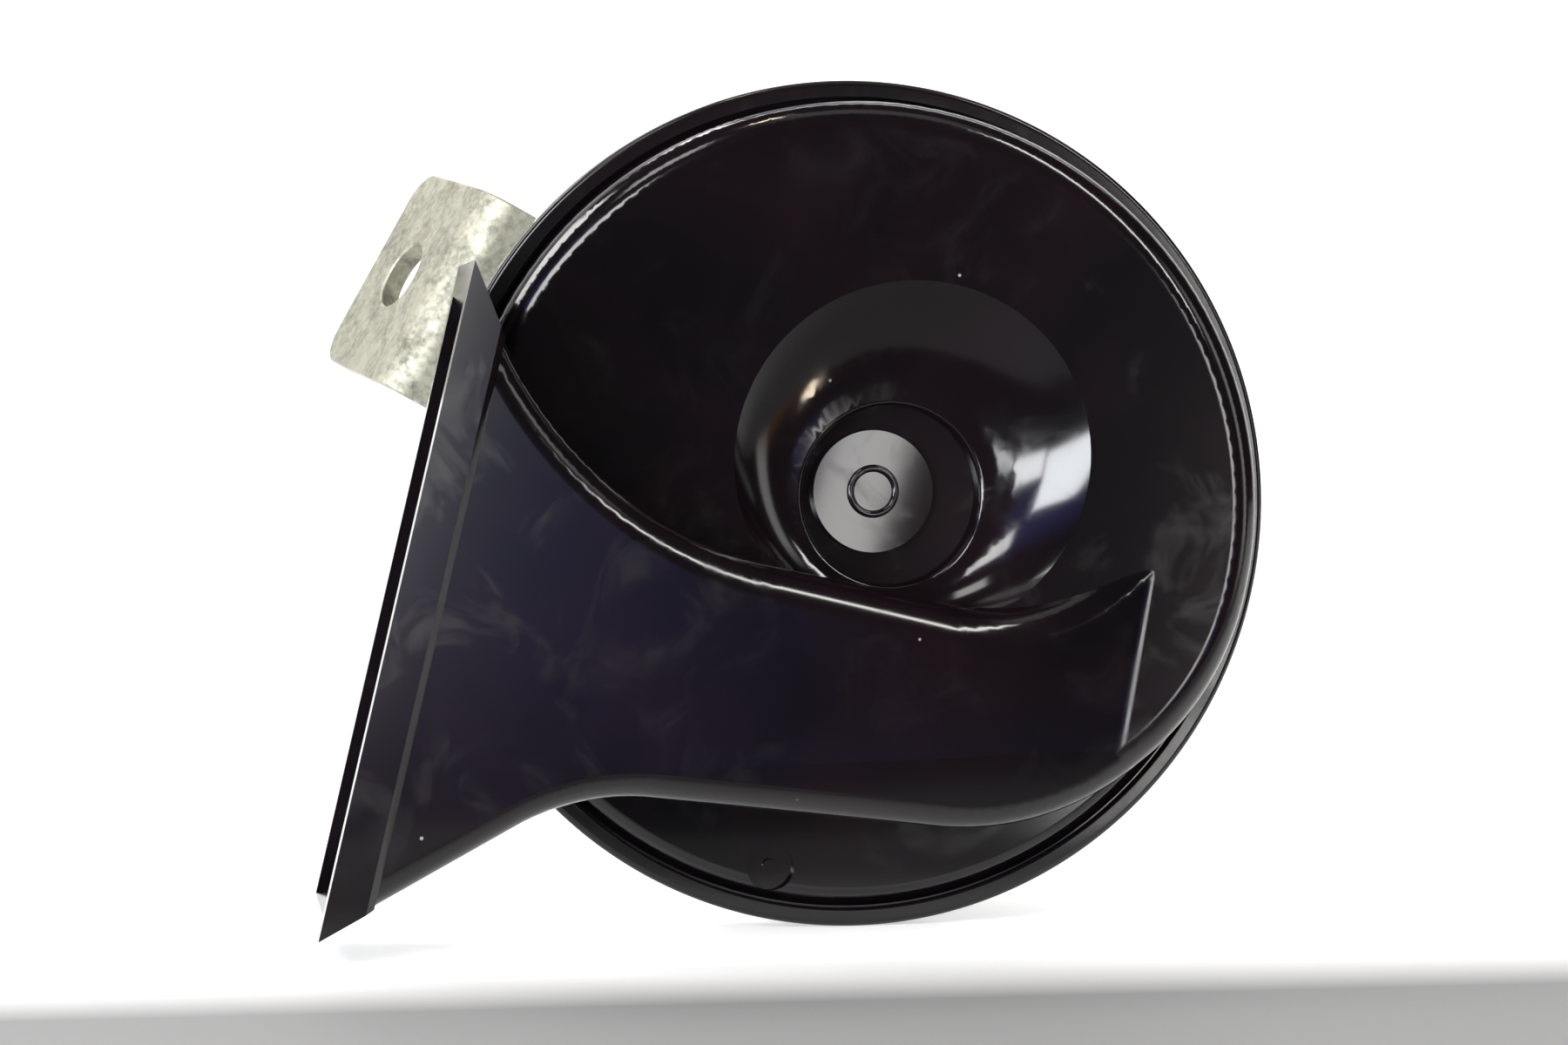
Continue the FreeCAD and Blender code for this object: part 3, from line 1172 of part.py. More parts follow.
def bracket():
    """Bent strip with a round end on the stud and a drilled leg."""
    back = -s.cup_depth
    sheet = s.bracket_sheet
    turn = s.bracket_turn
    half = s.bracket_width / 2.0
    lean_out, lean_back = turn.cosine(), turn.sine()
    corner = (s.bracket_reach, back)
    end = (s.bracket_reach + lean_out * s.leg_length, back - lean_back * s.leg_length)
    inside_end = (end[0] - lean_back * sheet, end[1] - lean_out * sheet)
    setback = sheet * (turn / 2.0).tangent()
    inside_corner = (s.bracket_reach - setback, back - sheet)
    body = new_body("mounting_bracket")
    side = body_sketch(body, "XZ_Plane")
    polygon(side, [(-half, back - sheet), inside_corner, inside_end, end, corner, (-half, back)])
    pad(body, side, s.bracket_width, midplane=True)

    def bend(point_x, height):
        def wanted(edge):
            first, last = edge.Vertexes[0].Point, edge.Vertexes[-1].Point
            same = abs(first.x - point_x.value) < CLOSE and abs(last.x - point_x.value) < CLOSE
            level = abs(first.z - height.value) < CLOSE and abs(last.z - height.value) < CLOSE
            return same and level and abs(first.y - last.y) > half.value
        return wanted

    round_edges(body, s.bracket_bend, bend(*inside_corner))
    round_edges(body, s.bracket_bend + sheet, bend(*corner))

    def upright_at(point_x):
        def wanted(edge):
            first, last = edge.Vertexes[0].Point, edge.Vertexes[-1].Point
            near = abs(first.x - point_x.value) < CLOSE and abs(last.x - point_x.value) < CLOSE
            return near and abs(first.z - last.z) > sheet.value / 2.0
        return wanted

    round_edges(body, half - s.end_flat, upright_at(-half))

    def leg_corner(edge):
        first, last = edge.Vertexes[0].Point, edge.Vertexes[-1].Point
        low = min(first.z, last.z) < (end[1] + sheet).value
        return low and abs(first.y - last.y) < CLOSE and edge.Length < sheet.value + NEAR

    round_edges(body, s.leg_corner, leg_corner)
    stud = body_sketch(body, "XY_Plane", back)
    circle(stud, 0.0, 0.0, s.stud_radius + s.stud_clearance)
    pocket(body, stud, sheet, back=False)
    hole = body.newObject("Sketcher::SketchObject", "fixing_hole_sketch")
    hole.AttachmentSupport = [(origin_plane(body, "XY_Plane"), "")]
    hole.MapMode = "FlatFace"
    leg = FreeCAD.Rotation(vector(0, 1, 0), turn.value)
    hole.AttachmentOffset = FreeCAD.Placement(vector(corner[0].value, 0, corner[1].value), leg)
    circle(hole, s.leg_hole, 0.0, s.fixing_hole)
    pocket(body, hole, sheet + PAST, back=False)
    return finish(body, "mounting_bracket", s.bracket_angle.value)


def stud_fasteners():
    """Split lock washer and hexagon nut on the stud."""
    top = -(s.cup_depth + s.bracket_sheet)
    bore = s.stud_radius + s.stud_clearance
    washer = turned("lock_washer", ring_profile(bore, s.lock_washer_radius, top - s.lock_washer, top))
    split = body_sketch(washer, "XY_Plane", top - s.lock_washer)
    half = s.lock_washer_split / 2.0
    rectangle(split, bore - PAST, s.lock_washer_radius + PAST, -half, half)
    pocket(washer, split, s.lock_washer, back=True)
    finish(washer, "lock_washer", s.lock_washer_turn.value)

    foot = top - s.lock_washer
    corner = s.nut_flats / as_size(3.0 ** 0.5)
    blank = new_body("nut_blank")
    sketch = body_sketch(blank, "XY_Plane", foot - s.nut)
    points = []
    for index in range(6):
        bearing = as_size(60.0 * index)
        points.append((corner * bearing.cosine(), corner * bearing.sine()))
    points[0] = (corner, 0.0)
    points[3] = (-corner, 0.0)
    polygon(sketch, points)
    pad(blank, sketch, s.nut)
    bore_sketch = body_sketch(blank, "XY_Plane", foot - s.nut)
    circle(bore_sketch, 0.0, 0.0, s.stud_radius)
    pocket(blank, bore_sketch, s.nut, back=True)
    flat = s.nut_flats / 2.0 - s.nut_face
    wide = corner + PAST
    fall = (wide - flat) * s.nut_chamfer.tangent()
    cone = turned("nut_cone", [
        (0.0, foot - s.nut), (flat, foot - s.nut), (wide, foot - s.nut + fall), (wide, foot - fall),
        (flat, foot), (0.0, foot),
    ])
    nut = combine("Part::Common", "stud_nut", blank, cone)
    finish(nut, "stud_nut", s.nut_turn.value)


def check_and_export():
    """Stop on any failed object, then write one file for each sub-part."""
    doc.recompute()
    for thing in doc.Objects:
        if "Invalid" in thing.State or "Error" in thing.State:
            raise RuntimeError(thing.Name + " failed: " + str(thing.State))
    os.makedirs("parts", exist_ok=True)
    for thing in sub_parts:
        shape = thing.Shape
        if shape.isNull() or not shape.isValid() or not shape.Solids:
            raise RuntimeError(thing.Label + " has no valid shape")
        shape.exportStep("parts/" + thing.Label + ".step")
        print(thing.Label, "solids", len(shape.Solids), "volume", round(shape.Volume, 1))


lean = -s.mouth_lean.value
cores = passage()
blocks = snail_blocks()
above = cylinder("above_seam", s.mouth_reach + REACH, s.seam, s.seam + REACH)
below = cylinder("below_seam", s.mouth_reach + REACH, s.base_top - REACH, s.seam)
finish(trumpet_front_shell(blocks, above, cores), "trumpet_front_shell", lean)
finish(trumpet_rear_shell(blocks, below, cores), "trumpet_rear_shell", lean)
housing_pot()
clamped_rings()
armature_back = armature()
magnet(armature_back)
contact_breaker(armature_back)
terminals()
bracket()
stud_fasteners()
check_and_export()
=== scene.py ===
import json
import math

import bmesh
import bpy
import numpy as np
from bpy.props import FloatProperty, FloatVectorProperty, IntProperty, PointerProperty
from mathutils import Matrix, Vector


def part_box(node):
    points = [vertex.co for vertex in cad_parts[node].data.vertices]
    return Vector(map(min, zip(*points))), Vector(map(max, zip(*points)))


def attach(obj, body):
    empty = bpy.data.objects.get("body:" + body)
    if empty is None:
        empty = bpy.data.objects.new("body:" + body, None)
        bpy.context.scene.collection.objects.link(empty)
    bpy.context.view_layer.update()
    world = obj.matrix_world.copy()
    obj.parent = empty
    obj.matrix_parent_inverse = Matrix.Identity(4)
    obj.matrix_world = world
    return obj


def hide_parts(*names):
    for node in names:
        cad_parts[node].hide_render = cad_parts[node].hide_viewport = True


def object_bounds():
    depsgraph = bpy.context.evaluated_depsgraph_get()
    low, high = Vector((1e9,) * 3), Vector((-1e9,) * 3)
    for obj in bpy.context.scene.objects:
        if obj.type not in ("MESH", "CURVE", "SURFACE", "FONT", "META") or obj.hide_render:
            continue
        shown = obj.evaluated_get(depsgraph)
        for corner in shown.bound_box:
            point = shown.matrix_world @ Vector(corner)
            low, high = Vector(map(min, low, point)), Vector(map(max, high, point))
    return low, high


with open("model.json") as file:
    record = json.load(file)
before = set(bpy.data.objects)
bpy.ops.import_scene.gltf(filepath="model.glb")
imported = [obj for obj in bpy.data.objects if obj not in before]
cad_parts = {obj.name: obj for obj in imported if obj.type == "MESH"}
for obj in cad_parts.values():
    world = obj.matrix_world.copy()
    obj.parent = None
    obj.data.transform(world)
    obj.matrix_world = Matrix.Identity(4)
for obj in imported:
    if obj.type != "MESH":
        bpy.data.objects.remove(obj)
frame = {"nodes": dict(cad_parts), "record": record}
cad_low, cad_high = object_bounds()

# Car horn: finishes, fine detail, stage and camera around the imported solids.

bl_info = {
    "name": "Car horn",
    "version": (1, 0, 0),
    "blender": (4, 5, 0),
    "location": "View3D > Sidebar > Car horn",
    "description": "Finishes and fine detail of a snail car horn",
    "category": "Object",
}

MM = 0.001

# Loose triangles are joined within WELD and merged where they lie FLAT. An edge between two
# faces that are both wider than BROAD is a real crease when it bends by more than FOLD.
WELD = 0.005 * MM
FLAT = math.radians(0.05)
BROAD = 1.5 * MM
FOLD = math.radians(4.0)
TURNED_CREASE = math.radians(60.0)
BEVEL_FROM = math.radians(40.0)
FINE_SHARE = 0.4  # of the edge rounding, on small metal pieces
RELIEF = 0.05 * MM  # height of a finish's relief at full strength
FULL_TURN = 2 * math.pi
QUARTER_TURN = Matrix.Rotation(math.radians(90.0), 3, "X")

# Where the disc stands in the hub hole: along and across the snail, and forward, in millimetres.
HUB_DISC_PLACE = (1.6, 2.0, 5.65)

# The bowl's circles: centre along and across the snail, radius, height, in millimetres.
BOWL_CIRCLES = ((3.4, 7.4, 21.6, 13.0), (3.5, 4.7, 16.6, 9.0), (3.6, 2.0, 10.2, 6.8))
# The fit takes points between LOW and HIGH that lie within SEARCH of them, and in each of its
# ROUNDS only those within a reach that goes by SHRINK from START to FIT. Centre and radius
# are polynomials of DEGREE in the height, which is scaled by HALF about MIDDLE. A face takes
# the fitted normals when its own normal's cosine to them is above ALIGNED.
BOWL_LOW, BOWL_HIGH = 7.2, 13.02
BOWL_MIDDLE, BOWL_HALF, BOWL_DEGREE = 10.0, 3.0, 4
BOWL_SEARCH, BOWL_START, BOWL_FIT, BOWL_SHRINK, BOWL_ROUNDS = 1.2, 0.6, 0.02, 0.6, 12
BOWL_ALIGNED = 0.97

# The horn axis runs along Y; the pot's flange seat is where the rear gasket starts.
gasket_low, gasket_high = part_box("rear_gasket")
AXIS_X = (gasket_low.x + gasket_high.x) / 2
AXIS_Z = (gasket_low.z + gasket_high.z) / 2
SEAT_Y = gasket_high.y
FLOOR_Z = cad_low.z


def on_axis(x, y, z):
    """A place in the row frame from millimetres about the horn axis, z forward."""
    return Vector((AXIS_X + x * MM, SEAT_Y - z * MM, AXIS_Z + y * MM))


def in_snail(u, w, z):
    """A place in the row frame from millimetres along the leaning snail."""
    lean = bpy.context.scene.horn_sizes.lean
    across, up = math.cos(lean), math.sin(lean)
    return on_axis(u * across + w * up, w * across - u * up, z)


def heading(azimuth, height):
    """The direction from the horn at degrees right of its front and above level."""
    turn, rise = math.radians(azimuth), math.radians(height)
    level = math.cos(rise)
    return Vector((math.sin(turn) * level, -math.cos(turn) * level, math.sin(rise)))


# Settings

def colour(name, description, default):
    """A colour setting."""
    return FloatVectorProperty(name=name, description=description, default=default,
                               subtype="COLOR", size=4, min=0.0, max=1.0)


def length(name, description, default_mm):
    """A length setting, given in millimetres."""
    return FloatProperty(name=name, description=description, default=default_mm * MM,
                         unit="LENGTH", min=0.0, precision=5)


def factor(name, description, default):
    """A share from 0 to 1."""
    return FloatProperty(name=name, description=description, default=default,
                         subtype="FACTOR", min=0.0, max=1.0)


class HornColours(bpy.types.PropertyGroup):
    """Colours of the horn's finishes."""

    plastic: colour("Moulded plastic", "Near-black of the duct shells", (0.0024, 0.0019, 0.0026, 1))
    plastic_tint: colour("Plastic tint", "Brown-purple in the plastic", (0.0065, 0.0032, 0.0046, 1))
    paint: colour("Pot paint", "Black paint of the steel pot", (0.0040, 0.0038, 0.0042, 1))
    dust: colour("Dust", "Dust and rub marks", (0.36, 0.34, 0.31, 1))
    zinc: colour("Zinc", "Zinc plating of the bracket", (0.45, 0.44, 0.36, 1))
    zinc_dark: colour("Zinc stain", "Darker spots in the plating", (0.20, 0.195, 0.155, 1))
    fastener: colour("Fastener zinc", "Brighter plating of nut and washer", (0.60, 0.60, 0.57, 1))
    steel: colour("Bare steel", "Turned and rolled steel", (0.46, 0.46, 0.46, 1))
    brass: colour("Brass", "Blades and contact arms", (0.72, 0.56, 0.28, 1))
    copper: colour("Copper", "Enamelled wire", (0.52, 0.20, 0.075, 1))
    laminate: colour("Laminate", "Brown insulation of the breaker", (0.16, 0.075, 0.035, 1))
    natural: colour("Natural plastic", "Bobbin and button", (0.66, 0.61, 0.49, 1))
    fibre: colour("Gasket fibre", "Dark gasket sheet", (0.055, 0.048, 0.042, 1))
    lacquer: colour("Screw lacquer", "Yellow passivated screw", (0.62, 0.47, 0.20, 1))


class HornSizes(bpy.types.PropertyGroup):
    """Sizes of the detail that is added to the solids."""

    pitch: length("Thread pitch", "Pitch of the stud's thread", 1.25)
    thread_depth: length("Thread depth", "Depth of the stud's thread", 0.62)
    lean: FloatProperty(name="Lean", description="Turn of the snail about the horn axis",
                        default=math.radians(13.1), subtype="ANGLE")
    sheet: length("Pot sheet", "Steel sheet of the pot", 0.9)
    lip: length("Rim lip", "Width of the lip rolled over the base", 2.0)
    flange: length("Flange", "From the rim to the pot's mouth", 13.0)
    cup_taper: length("Cup taper", "How far the cup narrows to its bottom", 2.0)
    pot_bore: length("Pot bore", "Hole for the core in the pot's bottom", 6.0)
    cap_radius: length("Hub disc radius", "Dished disc in the hub hole", 6.9)
    dish_radius: length("Hub dish", "Radius of the hub disc's hollow", 130.0)
    dish_aside: length("Hub dish offset", "Lowest place of the hollow, right of the disc", 8.3)
    ring_radius: length("Hub ring radius", "Small ring on the hub disc", 2.6)
    ring_wire: length("Hub ring section", "Section radius of that ring", 0.42)
    edge_round: length("Edge rounding", "Rounding of sheet and block edges", 0.25)
    sharp: FloatProperty(name="Crease angle", description="Edges above this angle stay sharp",
                         default=math.radians(24.0), subtype="ANGLE")


class HornStage(bpy.types.PropertyGroup):
    """Floor, lamps and camera."""

    azimuth: FloatProperty(name="Azimuth", description="Camera to the left of the horn axis",
                           default=math.radians(9.0), subtype="ANGLE")
    elevation: FloatProperty(name="Elevation", description="Camera above the horn axis",
                             default=math.radians(2.0), subtype="ANGLE")
    distance: FloatProperty(name="Distance", description="Camera to the aimed point",
                            default=0.450, unit="LENGTH")
    aim_x: FloatProperty(name="Aim right", description="Aimed point, right of the horn axis",
                         default=-7.2 * MM, unit="LENGTH")
    aim_z: FloatProperty(name="Aim up", description="Aimed point, above the horn axis",
                         default=-2.1 * MM, unit="LENGTH")
    lens: FloatProperty(name="Lens", description="Focal length on a 36 mm sensor", default=90.6)
    floor: colour("Floor", "Pale floor and backdrop", (0.86, 0.86, 0.85, 1))
    # Darker floor in front of the horn: painted shade, so that the gloss plastic reflects dark
    # there.
    floor_front_shade: colour("Floor front", "Floor in front of the horn", (0.28, 0.28, 0.28, 1))
    floor_glow: factor("Floor glow", "Lift of the floor towards white", 0.55)
    ambient: factor("Ambient", "Dim light from all round", 0.05)
    sweep_steps: IntProperty(name="Sweep steps", description="Steps in the backdrop's bend",
                             default=24, min=4)


# Shader building

def add_node(tree, kind, settings=None, **inputs):
    """Add a shader node, set its own settings and its sockets' constants."""
    node = tree.nodes.new(kind)
    for name, value in (settings or {}).items():
        setattr(node, name, value)
    for name, value in inputs.items():
        node.inputs[name.replace("_", " ")].default_value = value
    return node


def ramp(tree, source, low, high, out_low=0.0, out_high=1.0):
    """Map one value range to another, held at its ends."""
    node = add_node(tree, "ShaderNodeMapRange", {"clamp": True}, From_Min=low, From_Max=high,
                    To_Min=out_low, To_Max=out_high)
    tree.links.new(source, node.inputs["Value"])
    return node.outputs["Result"]


def arithmetic(tree, operation, first, second):
    """One step of arithmetic on two sockets or numbers."""
    node = add_node(tree, "ShaderNodeMath", {"operation": operation})
    for socket, value in zip(node.inputs, (first, second)):
        if isinstance(value, (int, float)):
            socket.default_value = value
        else:
            tree.links.new(value, socket)
    return node.outputs[0]


def blend_colour(tree, mask, first, second):
    """Mix two colours, given as sockets, by a mask."""
    node = add_node(tree, "ShaderNodeMix", {"data_type": "RGBA"})
    tree.links.new(mask, node.inputs[0])
    for socket, value in ((node.inputs[6], first), (node.inputs[7], second)):
        if isinstance(value, bpy.types.NodeSocket):
            tree.links.new(value, socket)
        else:
            socket.default_value = value
    return node.outputs[2]


def noise(tree, place, scale, detail=3.0, roughness=0.5, distortion=0.0):
    """Cloudy noise of a scale per metre."""
    node = add_node(tree, "ShaderNodeTexNoise", Scale=scale, Detail=detail, Roughness=roughness,
                    Distortion=distortion)
    tree.links.new(place, node.inputs["Vector"])
    return node.outputs["Fac"]


def cells(tree, place, scale):
    """Cells of a scale per metre, each with a distance and a random colour."""
    node = add_node(tree, "ShaderNodeTexVoronoi", {"feature": "F1"}, Scale=scale)
    tree.links.new(place, node.inputs["Vector"])
    return node


def new_group(name, inputs, outputs):
    """A node group with named sockets, and its object-space place."""
    tree = bpy.data.node_groups.new(name, "ShaderNodeTree")
    for label, kind, default in inputs:
        socket = tree.interface.new_socket(label, in_out="INPUT", socket_type="NodeSocket" + kind)
        socket.default_value = default
    for label, kind in outputs:
        tree.interface.new_socket(label, in_out="OUTPUT", socket_type="NodeSocket" + kind)
    taken = tree.nodes.new("NodeGroupInput")
    given = tree.nodes.new("NodeGroupOutput")
    place = tree.nodes.new("ShaderNodeTexCoord").outputs["Object"]
    return tree, taken.outputs, given.inputs, place


def moulding_group():
    """Gloss moulding: flow tint, faint ripple, rubbed patches and a few specks of dust."""
    tree, taken, given, place = new_group(
        "Moulded gloss",
        [("Colour", "Color", (0, 0, 0, 1)), ("Tint", "Color", (0, 0, 0, 1)),
         ("Dust", "Color", (0, 0, 0, 1)), ("Roughness", "Float", 0.1), ("Specks", "Float", 0.5)],
        [("Colour", "Color"), ("Roughness", "Float"), ("Height", "Float")])
    flow = noise(tree, place, 38.0, 4.0, 0.55, 0.6)
    tinted = blend_colour(tree, ramp(tree, flow, 0.38, 0.68), taken["Colour"], taken["Tint"])
    smear = ramp(tree, noise(tree, place, 95.0, 5.0, 0.62, 1.1), 0.52, 0.78)
    speck_cells = cells(tree, place, 360.0)
    near = ramp(tree, speck_cells.outputs["Distance"], 0.05, 0.085, 1.0, 0.0)
    split = tree.nodes.new("ShaderNodeSeparateColor")
    tree.links.new(speck_cells.outputs["Color"], split.inputs[0])
    chosen = ramp(tree, split.outputs[0], 0.955, 0.965)
    speck = arithmetic(tree, "MULTIPLY", near, chosen)
    speck = arithmetic(tree, "MULTIPLY", speck, taken["Specks"])
    tree.links.new(blend_colour(tree, speck, tinted, taken["Dust"]), given["Colour"])
    rubbed = arithmetic(tree, "MULTIPLY", smear, 0.12)
    rough = arithmetic(tree, "ADD", taken["Roughness"], rubbed)
    rough = arithmetic(tree, "ADD", rough, arithmetic(tree, "MULTIPLY", speck, 0.5))
    tree.links.new(rough, given["Roughness"])
    ripple = noise(tree, place, 190.0, 2.0, 0.4)
    fine = noise(tree, place, 1500.0, 2.0, 0.5)
    height = arithmetic(tree, "ADD", ripple, arithmetic(tree, "MULTIPLY", fine, 0.06))
    height = arithmetic(tree, "ADD", height, arithmetic(tree, "MULTIPLY", speck, 0.3))
    tree.links.new(height, given["Height"])
    return tree


def plating_group():
    """Zinc plating: soft crystals, stains and tiny pits."""
    tree, taken, given, place = new_group(
        "Zinc plating",
        [("Colour", "Color", (0, 0, 0, 1)), ("Stain", "Color", (0, 0, 0, 1)),
         ("Roughness", "Float", 0.35), ("Mottle", "Float", 1.0)],
        [("Colour", "Color"), ("Roughness", "Float"), ("Height", "Float")])
    crystal = cells(tree, place, 620.0)
    split = tree.nodes.new("ShaderNodeSeparateColor")
    tree.links.new(crystal.outputs["Color"], split.inputs[0])
    cloud = noise(tree, place, 210.0, 5.0, 0.65, 0.4)
    fleck = noise(tree, place, 1250.0, 3.0, 0.6)
    spots = ramp(tree, arithmetic(tree, "ADD", arithmetic(tree, "MULTIPLY", cloud, 0.6),
                                  arithmetic(tree, "MULTIPLY", fleck, 0.4)), 0.44, 0.62)
    stain = arithmetic(tree, "MULTIPLY", spots, taken["Mottle"])
    grains = arithmetic(tree, "MULTIPLY", split.outputs[1], 0.25)
    stain = arithmetic(tree, "ADD", arithmetic(tree, "MULTIPLY", stain, 0.75), grains)
    tree.links.new(blend_colour(tree, stain, taken["Colour"], taken["Stain"]), given["Colour"])
    rough = arithmetic(tree, "ADD", taken["Roughness"], arithmetic(tree, "MULTIPLY", stain, 0.22))
    tree.links.new(rough, given["Roughness"])
    height = arithmetic(tree, "ADD", fleck, arithmetic(tree, "MULTIPLY", split.outputs[2], 0.5))
    tree.links.new(height, given["Height"])
    return tree


def worked_metal_group():
    """Rolled or turned metal: fine lines along an axis, a little oxide."""
    tree, taken, given, place = new_group(
        "Worked metal",
        [("Colour", "Color", (0, 0, 0, 1)), ("Oxide", "Color", (0, 0, 0, 1)),
         ("Roughness", "Float", 0.3), ("Stretch", "Vector", (1.0, 1.0, 1.0))],
        [("Colour", "Color"), ("Roughness", "Float"), ("Height", "Float")])
    drawn = add_node(tree, "ShaderNodeVectorMath", {"operation": "MULTIPLY"})
    tree.links.new(place, drawn.inputs[0])
    tree.links.new(taken["Stretch"], drawn.inputs[1])
    lines = noise(tree, drawn.outputs[0], 900.0, 3.0, 0.6)
    cloud = ramp(tree, noise(tree, place, 160.0, 4.0, 0.6), 0.45, 0.75)
    aged = blend_colour(tree, arithmetic(tree, "MULTIPLY", cloud, 0.45), taken["Colour"],
                        taken["Oxide"])
    tree.links.new(aged, given["Colour"])
    rough = arithmetic(tree, "ADD", taken["Roughness"], arithmetic(tree, "MULTIPLY", lines, 0.14))
    tree.links.new(rough, given["Roughness"])
    tree.links.new(lines, given["Height"])
    return tree


def pressed_sheet_group():
    """Pressed fibre or laminate: grain in two sizes with stray fibres."""
    tree, taken, given, place = new_group(
        "Pressed sheet",
        [("Colour", "Color", (0, 0, 0, 1)), ("Fibre", "Color", (0, 0, 0, 1)),
         ("Roughness", "Float", 0.6)],
        [("Colour", "Color"), ("Roughness", "Float"), ("Height", "Float")])
    coarse = noise(tree, place, 300.0, 5.0, 0.6, 1.4)
    fine = noise(tree, place, 1800.0, 3.0, 0.6)
    mask = ramp(tree, coarse, 0.42, 0.66, 0.0, 0.7)
    tree.links.new(blend_colour(tree, mask, taken["Colour"], taken["Fibre"]), given["Colour"])
    rough = arithmetic(tree, "ADD", taken["Roughness"], arithmetic(tree, "MULTIPLY", fine, 0.15))
    tree.links.new(rough, given["Roughness"])
    tree.links.new(arithmetic(tree, "ADD", coarse, fine), given["Height"])
    return tree


def finish_from(name, group, inputs, bump, metallic=0.0):
    """A material that feeds one effect group into a principled shader."""
    material = bpy.data.materials.new(name)
    material.use_nodes = True
    tree = material.node_tree
    shader = tree.nodes["Principled BSDF"]
    effect = tree.nodes.new("ShaderNodeGroup")
    effect.node_tree = group
    for label, value in inputs.items():
        effect.inputs[label].default_value = value
    tree.links.new(effect.outputs["Colour"], shader.inputs["Base Color"])
    tree.links.new(effect.outputs["Roughness"], shader.inputs["Roughness"])
    relief = add_node(tree, "ShaderNodeBump", Strength=bump, Distance=RELIEF)
    tree.links.new(effect.outputs["Height"], relief.inputs["Height"])
    tree.links.new(relief.outputs["Normal"], shader.inputs["Normal"])
    shader.inputs["Metallic"].default_value = metallic
    return material


def darker(tone, share):
    """A share of a colour."""
    return (tone[0] * share, tone[1] * share, tone[2] * share, 1.0)


def make_finishes(colours):
    """All finishes, by the name of the record's material slot."""
    moulded, plated = moulding_group(), plating_group()
    worked, pressed = worked_metal_group(), pressed_sheet_group()

    def gloss(name, tone, roughness, specks, bump):
        material = finish_from(name, moulded, {
            "Colour": tone, "Tint": tuple(colours.plastic_tint), "Dust": tuple(colours.dust),
            "Roughness": roughness, "Specks": specks}, bump)
        shader = material.node_tree.nodes["Principled BSDF"]
        shader.inputs["Specular IOR Level"].default_value = 0.42
        return material

    def zinc(name, tone, roughness, mottle, bump):
        return finish_from(name, plated, {
            "Colour": tone, "Stain": tuple(colours.zinc_dark), "Roughness": roughness,
            "Mottle": mottle}, bump, metallic=1.0)

    def metal(name, tone, roughness, stretch, bump):
        return finish_from(name, worked, {
            "Colour": tone, "Oxide": darker(tone, 0.55), "Roughness": roughness,
            "Stretch": stretch}, bump, metallic=1.0)

    def sheet(name, tone, roughness, bump):
        return finish_from(name, pressed, {
            "Colour": tone, "Fibre": darker(tone, 0.6), "Roughness": roughness}, bump)

    plastic, steel = tuple(colours.plastic), tuple(colours.steel)
    brass, even = tuple(colours.brass), (1.0, 1.0, 1.0)
    lathe, wound = (0.15, 6.0, 0.15), (0.1, 9.0, 0.1)
    return {
        "front_plastic": gloss("gloss_black_front", plastic, 0.11, 0.8, 0.03),
        "rear_plastic": gloss("gloss_black_base", plastic, 0.10, 0.9, 0.06),
        "pot_paint": gloss("black_pot_paint", tuple(colours.paint), 0.16, 0.6, 0.35),
        "terminal_plastic": gloss("terminal_black", plastic, 0.38, 0.4, 0.25),
        "bracket_zinc": zinc("mottled_zinc", tuple(colours.zinc), 0.52, 1.0, 0.5),
        "fastener_zinc": zinc("bright_zinc", tuple(colours.fastener), 0.26, 0.35, 0.3),
        "rivet_steel": zinc("rivet_zinc", tuple(colours.fastener), 0.32, 0.5, 0.3),
        "screw_steel": zinc("lacquered_screw", tuple(colours.lacquer), 0.3, 0.3, 0.3),
        "spring_steel": metal("rolled_spring_steel", steel, 0.28, (6.0, 1.0, 0.2), 0.2),
        "bare_steel": metal("turned_steel", steel, 0.3, lathe, 0.35),
        "arm_metal": metal("brass_strip", brass, 0.3, (0.3, 1.0, 5.0), 0.2),
        "blade_metal": metal("tinned_brass", brass, 0.26, (5.0, 0.3, 1.0), 0.2),
        "contact_metal": metal("contact_silver", tuple(colours.fastener), 0.22, even, 0.1),
        "copper_winding": metal("enamelled_copper", tuple(colours.copper), 0.25, wound, 0.8),
        "breaker_plastic": sheet("brown_laminate", tuple(colours.laminate), 0.45, 0.3),
        "bobbin_plastic": sheet("natural_bobbin", tuple(colours.natural), 0.42, 0.15),
        "button_plastic": sheet("natural_button", tuple(colours.natural), 0.4, 0.15),
        "gasket": sheet("gasket_fibre", tuple(colours.fibre), 0.7, 0.5),
    }


finishes = {}


def slot_of(node):
    """The record's material slot of a CAD node."""
    for entry in frame["record"]["subparts"]:
        if entry["node"] == node:
            return entry["material_slot"]
    raise KeyError(node)


# Mesh building

def piece_from(bm, name, slot, replaced=()):
    """Turn a bmesh into a finished piece of the horn."""
    mesh = bpy.data.meshes.new(name)
    bm.to_mesh(mesh)
    bm.free()
    piece = bpy.data.objects.new(name, mesh)
    bpy.context.scene.collection.objects.link(piece)
    mesh.materials.append(finishes[slot])
    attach(piece, "root")
    for node in replaced:
        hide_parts(node)
    return piece


def crease(bm, angle):
    """Smooth shading with sharp edges, and with edges between two broad faces kept too."""
    for face in bm.faces:
        face.smooth = True
    broad = {face for face in bm.faces if face.calc_area() > BROAD * max(
        edge.calc_length() for edge in face.edges) / 2}
    for edge in bm.edges:
        bend = edge.calc_face_angle(0.0) if edge.is_manifold else angle
        fold = bend > FOLD and all(face in broad for face in edge.link_faces)
        edge.smooth = bend < angle and not fold


def welded(node):
    """A CAD node's mesh with its loose triangles joined."""
    bm = bmesh.new()
    bm.from_mesh(frame["nodes"][node].data)
    bmesh.ops.remove_doubles(bm, verts=bm.verts, dist=WELD)
    bmesh.ops.dissolve_limit(bm, angle_limit=FLAT, verts=bm.verts, edges=bm.edges)
    return bm


